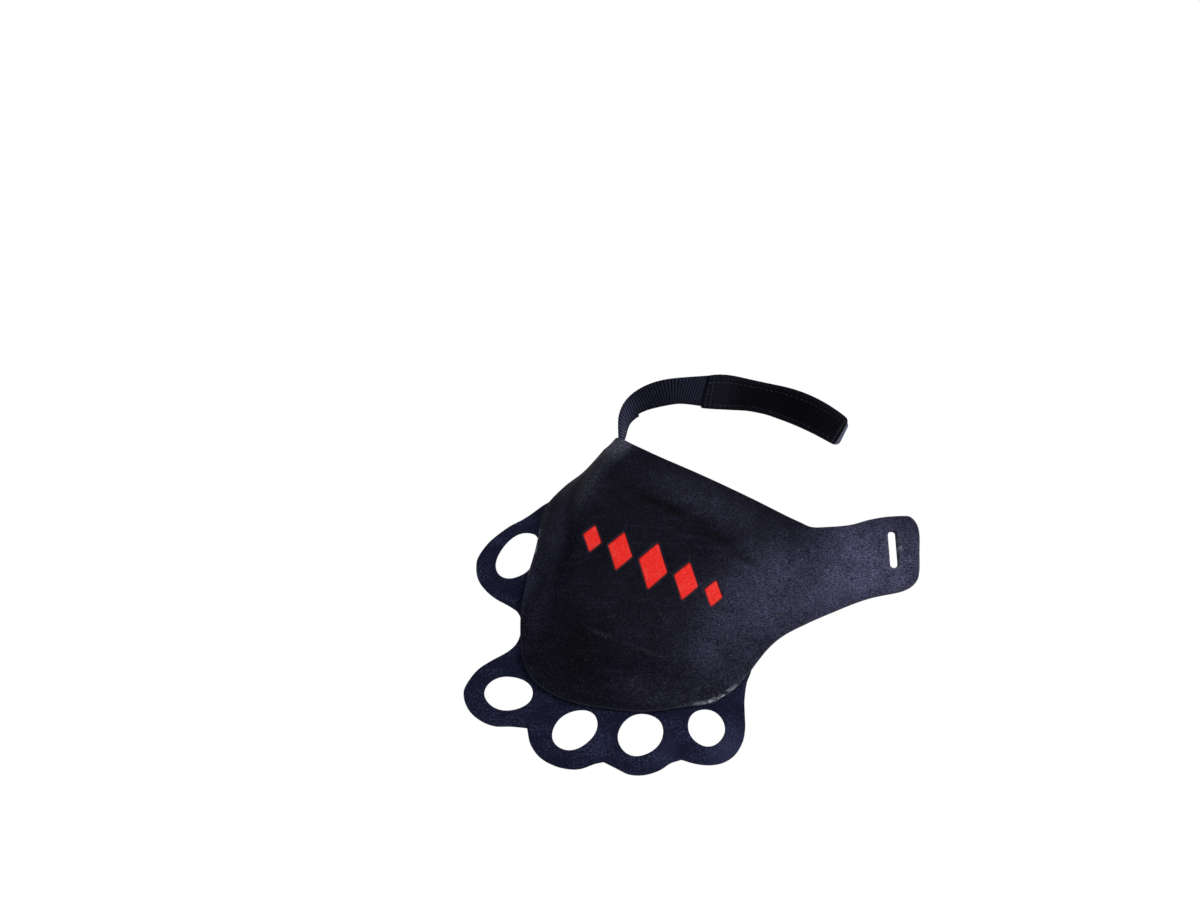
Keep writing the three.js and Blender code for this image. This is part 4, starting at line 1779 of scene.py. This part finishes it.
@dataclass(frozen=True)
class Band:
    """A band of tape swept along the strap, with rounded ends and with cross ribs on its faces."""

    start: float
    end: float
    width: float
    thickness: float
    raised: float
    rib_pitch: float
    rib_height: float
    start_corner: float = 0.0
    end_corner: float = 0.0
    root_width: float = 0.0
    open_by: float = 16.0
    notch: float = 0.0
    notch_half: float = 0.02
    tongue: float = 0.0
    edge_points: int = 5
    face_share: float = 0.92
    face_points: int = 9
    sections_per_rib: int = 8
    rib_middle: float = 0.6
    corner_shares: tuple[float, ...] = (0.02, 0.08, 0.2, 0.4, 0.7)

    def halves(self, s: np.ndarray) -> tuple[np.ndarray, np.ndarray]:
        """How far the band reaches to its farther and nearer edge at each distance.

        Args:
            s: distances along the strap.

        Returns:
            The farther and the nearer half widths.
        """
        root = (self.root_width or self.width) / 2
        open_share = smooth_step(s, 0, self.open_by)
        far = root + (self.width / 2 - root) * open_share
        near = root + (self.width / 2 + self.tongue * (s < self.notch) - root) * open_share
        for corner, gone in ((self.start_corner, s - self.start), (self.end_corner, self.end - s)):
            loss = corner - np.sqrt(np.maximum(corner**2 - np.maximum(corner - gone, 0) ** 2, 0))
            far, near = far - loss, near - loss
        return far, near

    def profile(self) -> np.ndarray:
        """The cross-section as (share of half the width, inset, height, share of the ribs) rows.

        Returns:
            One row for each point of the closed cross-section.
        """
        r = self.thickness / 2
        turns = np.linspace(-math.pi / 2, math.pi / 2, self.edge_points)
        flats = np.linspace(-self.face_share, self.face_share, self.face_points)
        rows = [(x, 0.0, -r, -1.0) for x in flats]
        rows += [(1.0, r * (1 - math.cos(t)), r * math.sin(t), 0.0) for t in turns]
        rows += [(x, 0.0, r, 1.0) for x in flats[::-1]]
        rows += [(-1.0, r * (1 - math.cos(t)), -r * math.sin(t), 0.0) for t in turns]
        return np.array(rows)

    def distances(self) -> np.ndarray:
        """Where the cross-sections lie, closer together at a rounded end and at a notch.

        Returns:
            The distances, in order.
        """
        shares = np.array(self.corner_shares)
        parts = [np.arange(self.start, self.end, self.rib_pitch / self.sections_per_rib), [self.end]]
        parts += [self.start + shares * self.start_corner, self.end - shares * self.end_corner]
        if self.notch:
            parts.append([self.notch - self.notch_half, self.notch + self.notch_half])
        return np.unique(np.round(np.concatenate(parts), 4))

    def build(self, name: str, path: StrapPath, material: bpy.types.Material) -> bpy.types.Object:
        """The band as one closed mesh with its flat map.

        Args:
            name: the object's name.
            path: the course it follows.
            material: its finish.

        Returns:
            The finished object.
        """
        s = self.distances()
        point, _, wide, face = path.at(s)
        far, near = self.halves(s)
        profile = self.profile()
        size = len(profile)
        half = np.where(profile[None, :, 0] > 0, far[:, None], near[:, None])
        offset = profile[None, :, 0] * (half - profile[None, :, 1])
        wave = np.abs(np.cos(math.pi * s / self.rib_pitch)) - self.rib_middle
        height = self.raised + profile[None, :, 2]
        height = height + self.rib_height * wave[:, None] * profile[None, :, 3]
        vertices = point[:, None, :] + offset[..., None] * wide[:, None, :]
        vertices = vertices + height[..., None] * face[:, None, :]
        flat = np.stack([np.broadcast_to(s[:, None], offset.shape), offset], axis=2).reshape(-1, 2)
        faces = []
        for i in range(len(s) - 1):
            for k in range(size):
                j = (k + 1) % size
                faces.append((i * size + k, i * size + j, (i + 1) * size + j, (i + 1) * size + k))
        last = (len(s) - 1) * size
        faces += [tuple(range(size - 1, -1, -1)), tuple(range(last, last + size))]
        piece = mesh_object(name, vertices.reshape(-1, 3), faces, material)
        add_flat_map(piece, flat)
        return piece


@dataclass(frozen=True)
class Strap:
    """The webbing strap with its hook patch, its bed of hooks and its stitches."""

    path: StrapPath
    webbing: Band = Band(
        start=-13, end=126, width=14.5, thickness=1.2, raised=0.0, rib_pitch=1.27, rib_height=0.3,
        end_corner=2.6, root_width=8.8, notch=23.5, tongue=1.6,
    )
    patch: Band = Band(
        start=57, end=124.6, width=15.6, thickness=0.7, raised=1.15, rib_pitch=1.27, rib_height=0.12,
        start_corner=0.6, end_corner=2.2,
    )
    hook: PieceSize = PieceSize(
        length=0.75, width=0.62, height=0.95, size_jitter=0.3, turn_jitter=0.5, seed=11
    )
    hooks_from: float = 70.0
    hook_pitch: tuple[float, float] = (1.15, 0.95)
    hook_slack: float = 0.01
    hem: float = 1.7
    stitch: PieceSize = PieceSize(
        length=1.7, width=0.42, height=0.36, size_jitter=0.0, turn_jitter=0.06, seed=5
    )
    stitch_pitch: float = 2.3
    cross_pitch_share: float = 0.8
    stitch_lift: float = 0.05
    long_rows_in: tuple[float, float] = (1.9, 3.6)
    long_rows_ends: tuple[float, float] = (1.6, 1.8)
    cross_rows_in: tuple[float, float] = (1.2, 0.8)
    cross_rows_start: tuple[float, float] = (1.2, 3.4)
    cross_row_end: float = 1.6

    def _on_face(self, s: np.ndarray, across: np.ndarray, height: float, turn: bool = False) -> Places:
        """Places on the strap's upper face, headed along it or, if turned, across it."""
        point, heading, wide, face = self.path.at(s)
        return Places(point + wide * across[:, None] + face * height, wide if turn else heading, face)

    def hooks(self, material: bpy.types.Material) -> bpy.types.Object:
        """The patch's bed of hooks, inside its hem.

        Args:
            material: its finish.

        Returns:
            The finished object.
        """
        edge = self.patch.width / 2 - self.hem
        s = np.arange(self.hooks_from, self.patch.end - self.hem, self.hook_pitch[0])
        w = np.arange(-edge, edge + self.hook_slack, self.hook_pitch[1])
        grid_s, grid_w = np.meshgrid(s, w, indexing="ij")
        grid_s = grid_s + (np.arange(len(w)) % 2)[None, :] * self.hook_pitch[0] / 2
        level = self.patch.raised + self.patch.thickness / 2
        places = self._on_face(grid_s.ravel(), grid_w.ravel(), level)
        return Repeater(SmallPiece.HOOK).build("strap_hooks", places, self.hook, material)

    def stitches(self, material: bpy.types.Material) -> bpy.types.Object:
        """The rows along the patch's edges and across its two ends.

        Args:
            material: its finish.

        Returns:
            The finished object.
        """
        patch = self.patch
        level = patch.raised + patch.thickness / 2 + self.stitch_lift
        half = patch.width / 2
        first, last = self.long_rows_ends
        along = np.arange(patch.start + first, patch.end - last, self.stitch_pitch)
        sides = (self.long_rows_in[0] - half, half - self.long_rows_in[1])
        rows = [self._on_face(along, np.full(len(along), at), level) for at in sides]
        low, high = self.cross_rows_in[0] - half, half - self.cross_rows_in[1]
        across = np.arange(low, high, self.stitch_pitch * self.cross_pitch_share)
        crossings = [patch.start + inward for inward in self.cross_rows_start]
        for at in [*crossings, patch.end - self.cross_row_end]:
            rows.append(self._on_face(np.full(len(across), at), across, level, turn=True))
        parts = ("points", "headings", "outward")
        joined = Places(*(np.concatenate([getattr(row, part) for row in rows]) for part in parts))
        return Repeater(SmallPiece.STITCH).build("strap_stitches", joined, self.stitch, material)

    def build(self, finishes: "Finishes") -> None:
        """Makes the strap's pieces and settles what each stands for.

        Args:
            finishes: the materials of all pieces.
        """
        webbing = self.webbing.build("webbing_tape", self.path, finishes.webbing)
        patch = self.patch.build("hook_patch_tape", self.path, finishes.patch)
        hooks, stitches = self.hooks(finishes.hook), self.stitches(finishes.thread)
        settle(webbing, "strap_webbing")
        settle(patch, "strap_hook_patch")
        settle(hooks)
        settle(stitches)
        for band, piece, below, on_it in (
            (self.webbing, webbing, "back_panel_sheet", []),
            (self.patch, patch, "webbing_tape", [hooks, stitches]),
        ):
            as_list(on_it)


# The two sheets and the inlays


def settle(piece: bpy.types.Object, node: str = "") -> bpy.types.Object:
    """Lets a piece ride on the part's one body, for its CAD node if it has one.

    Args:
        piece: the object.
        node: the name of the CAD node, or nothing.

    Returns:
        The same object.
    """
    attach(piece, BODY)
    if node:
        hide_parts(node)
    LOG.info("%s: %d faces", piece.name, len(piece.data.polygons))
    return piece


@dataclass(frozen=True)
class LoopSheet:
    """The lower sheet, with the thumb loop and the four finger loops."""

    form: BentForm
    outline: Outline = Outline(
        (
            (-11.5, 17.2), (-15.6, 21.6), (-19, 22.8), (-26.9, 24.1), (-30.7, 25.2), (-35.8, 27.8),
            (-39, 30.7), (-41.2, 34.5), (-42.4, 38.5), (-41.3, 46), (-39, 51.4), (-34.6, 58),
            (-29.8, 63), (-25.3, 68.4), (-20.5, 74), (-14, 79), (-3, 86), (4, 92), (9, 97), (40, 98.5),
            (62, 98), (70, 95), (77, 82), (83, 64), (87, 46), (88.4, 34), (88, 28), (89.3, 20),
            (91, 15), (93.6, 8), (94.6, 2.6), (93.7, -4.1), (90.5, -9), (85.9, -12.1), (80, -13.9),
            (73.5, -14.5), (69.8, -17.7), (66.7, -22.2), (61.5, -26.5), (55.5, -28.7), (49, -28.2),
            (43.5, -27.6), (40.5, -29.6), (35.9, -33.8), (31.9, -35.7), (25.5, -36.8), (18, -35.7),
            (12.1, -31.8), (8, -25.6), (1.5, -27.5), (-5, -29.9), (-10.5, -30), (-16.6, -28.1),
            (-21, -24.3), (-23.1, -20), (-22.7, -14.4), (-20.8, -8.4), (-17.4, -3.2), (-12.3, 3.8),
            (-10.5, 9),
        ),
        frozenset({0, 18, 35, 41, 48}),
    )
    openings: tuple[Ellipse, ...] = (
        Ellipse((-26.2, 46.5), (12.2, 8.1), 72),
        Ellipse((-5, -14.1), (10.3, 7.7), 23),
        Ellipse((27.1, -18.8), (10.6, 7.8), 60),
        Ellipse((53.6, -10.5), (10.2, 8.8), 64),
        Ellipse((78.2, 2.8), (8.5, 7.6), -47),
    )
    thickness: float = 1.0
    rim_step: float = 0.9
    edge_round: float = 0.28

    def build(self, material: bpy.types.Material) -> None:
        """Makes the sheet and settles it.

        Args:
            material: its finish.
        """
        holes = [opening.sampled(self.rim_step) for opening in self.openings]
        outline = self.outline.sampled(self.rim_step)
        cut = SheetCut(outline, holes, 0.0, self.thickness, edge_round=self.edge_round)
        piece = cut.build("loop_sheet", self.form, None, material)
        settle(piece, "finger_loop_sheet")
        size = np.ptp(cut.outline, axis=0) * MM
        area = cut.area() * MM * MM


@dataclass(frozen=True)
class BackPanel:
    """The upper rubber sheet with the wrist tab, and the lozenge inlays in its windows."""

    form: BentForm
    relief: SmallRelief = SmallRelief()
    outline: Outline = Outline(
        (
            (-15.5, 106.5), (-11, 109), (-6, 109.7), (0, 107.6), (12, 107.1), (50, 107.6), (84, 106.2),
            (90, 105.9), (95, 108.1), (103, 113.5), (108.5, 119), (113.1, 122.3), (120.3, 125.8),
            (122.9, 126.5), (126.8, 124.7), (130.5, 121), (136.7, 111.1), (141.5, 103), (142.9, 99.5),
            (142.7, 95.7), (140.5, 92.2), (130, 84.4), (117.7, 72.8), (107.7, 63.6), (98.1, 53.6),
            (93.2, 45.9), (90.3, 39), (86.7, 29.3), (82.5, 21), (75.7, 13), (68.5, 8.5), (57, 1.5),
            (46.5, -2.8), (36, -5.8), (25.5, -8), (17, -8.5), (9.5, -7.6), (3.5, -5.5), (-1.5, -2),
            (-5.5, 2.5), (-9, 9), (-12.5, 17.5), (-14.5, 24), (-16.5, 32), (-17.5, 40), (-17.6, 47),
            (-18.2, 58), (-18.4, 69), (-17.3, 77), (-16.8, 85), (-15.8, 96),
        ),
        frozenset({0}),
    )
    slot: Slot = Slot(((121.9, 115.9), (131, 102.8)), 1.85)
    slot_lean: tuple[float, float] = (-1.3, -0.5)
    lozenges: LozengeRow = LozengeRow()
    lower: float = 1.3
    upper: float = 2.9
    inlay_upper: float = 2.35
    window_margin: float = 0.1
    rim_step: float = 0.9
    fine_step: float = 0.5
    edge_round: float = 0.32
    inlay_spacing: float = 0.8
    inlay_edge_round: float = 0.2

    def build(self, rubber: bpy.types.Material, red: bpy.types.Material) -> None:
        """Makes the panel and the inlays and settles them.

        Args:
            rubber: the panel's finish.
            red: the inlays' finish.
        """
        windows = self.lozenges.outlines(self.window_margin, self.fine_step)
        openings = [self.slot.sampled(self.fine_step), *windows]
        outline = self.outline.sampled(self.rim_step)
        cut = SheetCut(
            outline, openings, self.lower, self.upper, edge_round=self.edge_round, lean=self.slot_lean
        )
        piece = cut.build("back_panel_sheet", self.form, self.relief, rubber)
        settle(piece, "back_panel")
        for number, lozenge in enumerate(self.lozenges.outlines(0.0, self.fine_step), 1):
            inlay = SheetCut(
                lozenge, [], self.lower, self.inlay_upper,
                spacing=self.inlay_spacing, edge_round=self.inlay_edge_round,
            )
            made = inlay.build(f"inlay_piece_{number}", self.form, self.relief, red)
            settle(made, f"inlay_{number}")
        size = np.ptp(cut.outline, axis=0) * MM
        area = cut.area() * MM * MM


# The studio


@dataclass(frozen=True)
class Finishes:
    """The materials of all pieces."""

    rubber: bpy.types.Material
    suede: bpy.types.Material
    red: bpy.types.Material
    webbing: bpy.types.Material
    patch: bpy.types.Material
    hook: bpy.types.Material
    thread: bpy.types.Material

    @classmethod
    def made(cls) -> "Finishes":
        """Builds every material.

        Returns:
            The materials.
        """
        groups = SharedGroups.made()
        patch = WebbingFinish(
            name="PatchTape",
            deep=(0.0012, 0.0012, 0.0026, 1),
            lit=(0.012, 0.012, 0.028, 1),
            sealed_from=200.0,
            worn=PATCH_RIB_HIGHLIGHTS,
        )
        hook = PlainYarnFinish("PatchHook", (0.0010, 0.0010, 0.0018, 1), (0.0032, 0.0032, 0.0055, 1), 0.6)
        thread = PlainYarnFinish("StitchThread", (0.012, 0.013, 0.024, 1), (0.038, 0.04, 0.064, 1), 0.6)
        return cls(
            rubber=RubberFinish().make(groups),
            suede=SuedeFinish().make(groups),
            red=InlayFinish().make(groups),
            webbing=WebbingFinish().make(groups),
            patch=patch.make(groups),
            hook=hook.make(),
            thread=thread.make(),
        )


@dataclass(frozen=True)
class SoftLight:
    """One square soft light: its place, its aim, its side and its power."""

    name: str
    place: Triple
    aim: Triple
    side: float
    power: float

    def build(self) -> None:
        """Adds the light to the scene."""
        light = bpy.data.lights.new(self.name, "AREA")
        light.shape = "SQUARE"
        light.size = self.side
        light.energy = self.power
        lamp = bpy.data.objects.new(self.name, light)
        lamp.location = self.place
        toward = Vector(self.aim) - Vector(self.place)
        lamp.rotation_euler = toward.to_track_quat("-Z", "Y").to_euler()
        bpy.context.collection.objects.link(lamp)


@dataclass(frozen=True)
class Studio:
    """The white floor, the lights and the camera."""

    aim: Triple = (-0.04043, 0.05905, 0.0)
    elevation: float = 63.0
    distance: float = 1.25
    lens: float = 85.0
    sensor: float = 36.0
    floor_half: float = 3.0
    floor_drop: float = 0.0002
    floor_grey: float = 0.8
    floor_roughness: float = 0.9
    ambient: float = 0.2
    lights: tuple[SoftLight, ...] = (
        SoftLight("key", place=(0.4, 0.02, 0.36), aim=(0.03, 0.0, 0.0), side=0.3, power=2.2),
        SoftLight("top", place=(-0.15, -0.35, 1.0), aim=(0.0, 0.0, 0.0), side=0.9, power=3.0),
        SoftLight("back", place=(0.2, 0.8, 0.5), aim=(0.0, 0.0, 0.0), side=0.6, power=1.6),
    )

    def floor(self) -> None:
        """A plain pale floor that the camera sees as pure white."""
        material, tree, shader = new_material("StudioWhite")
        grey = (self.floor_grey, self.floor_grey, self.floor_grey, 1)
        tree.fill(shader, {"Base Color": grey, "Roughness": self.floor_roughness})
        seen = tree.add("ShaderNodeLightPath").outputs["Is Camera Ray"]
        white = tree.add("ShaderNodeEmission", {"Color": (1, 1, 1, 1), "Strength": 1.0}).outputs[0]
        mixed = tree.add("ShaderNodeMixShader", {0: seen, 1: shader.outputs[0], 2: white}).outputs[0]
        tree.link(mixed, material.node_tree.nodes["Material Output"].inputs["Surface"])
        h = self.floor_half
        mesh = bpy.data.meshes.new("studio_floor")
        mesh.from_pydata([(-h, -h, 0), (h, -h, 0), (h, h, 0), (-h, h, 0)], [], [(0, 1, 2, 3)])
        mesh.materials.append(material)
        floor = bpy.data.objects.new("studio_floor", mesh)
        floor.location = (0, 0, -self.floor_drop)
        bpy.context.collection.objects.link(floor)

    def camera(self) -> None:
        """The camera at the photograph's angle and framing."""
        data = bpy.data.cameras.new("camera")
        data.lens = self.lens
        data.sensor_width = self.sensor
        camera = bpy.data.objects.new("camera", data)
        angle = math.radians(self.elevation)
        back = Vector((0, -math.cos(angle), math.sin(angle))) * self.distance
        camera.location = Vector(self.aim) + back
        camera.rotation_euler = (-back).to_track_quat("-Z", "Y").to_euler()
        bpy.context.collection.objects.link(camera)
        bpy.context.scene.camera = camera

    def build(self) -> None:
        """Sets up the floor, lights, surroundings and camera."""
        self.camera()
        self.floor()
        for light in self.lights:
            light.build()
        world = bpy.data.worlds.new("StudioWorld")
        world.use_nodes = True
        tree = ShaderTree(world.node_tree)
        seen = tree.add("ShaderNodeLightPath").outputs["Is Camera Ray"]
        inputs = {"Value": seen, "To Min": self.ambient, "To Max": 1.0}
        strength = tree.add("ShaderNodeMapRange", inputs).outputs[0]
        tree.fill(world.node_tree.nodes["Background"], {"Color": (1, 1, 1, 1), "Strength": strength})
        scene = bpy.context.scene
        scene.world = world
        scene.view_settings.view_transform = "Standard"
        scene.view_settings.look = "None"


def main() -> None:
    """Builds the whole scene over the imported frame."""
    logging.basicConfig(level=logging.INFO, format="%(message)s")
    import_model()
    form = BentForm()
    finishes = Finishes.made()
    Studio().build()
    LoopSheet(form).build(finishes.suede)
    BackPanel(form).build(finishes.rubber, finishes.red)
    Strap(StrapPath(form)).build(finishes)


if __name__ == "__main__":
    main()
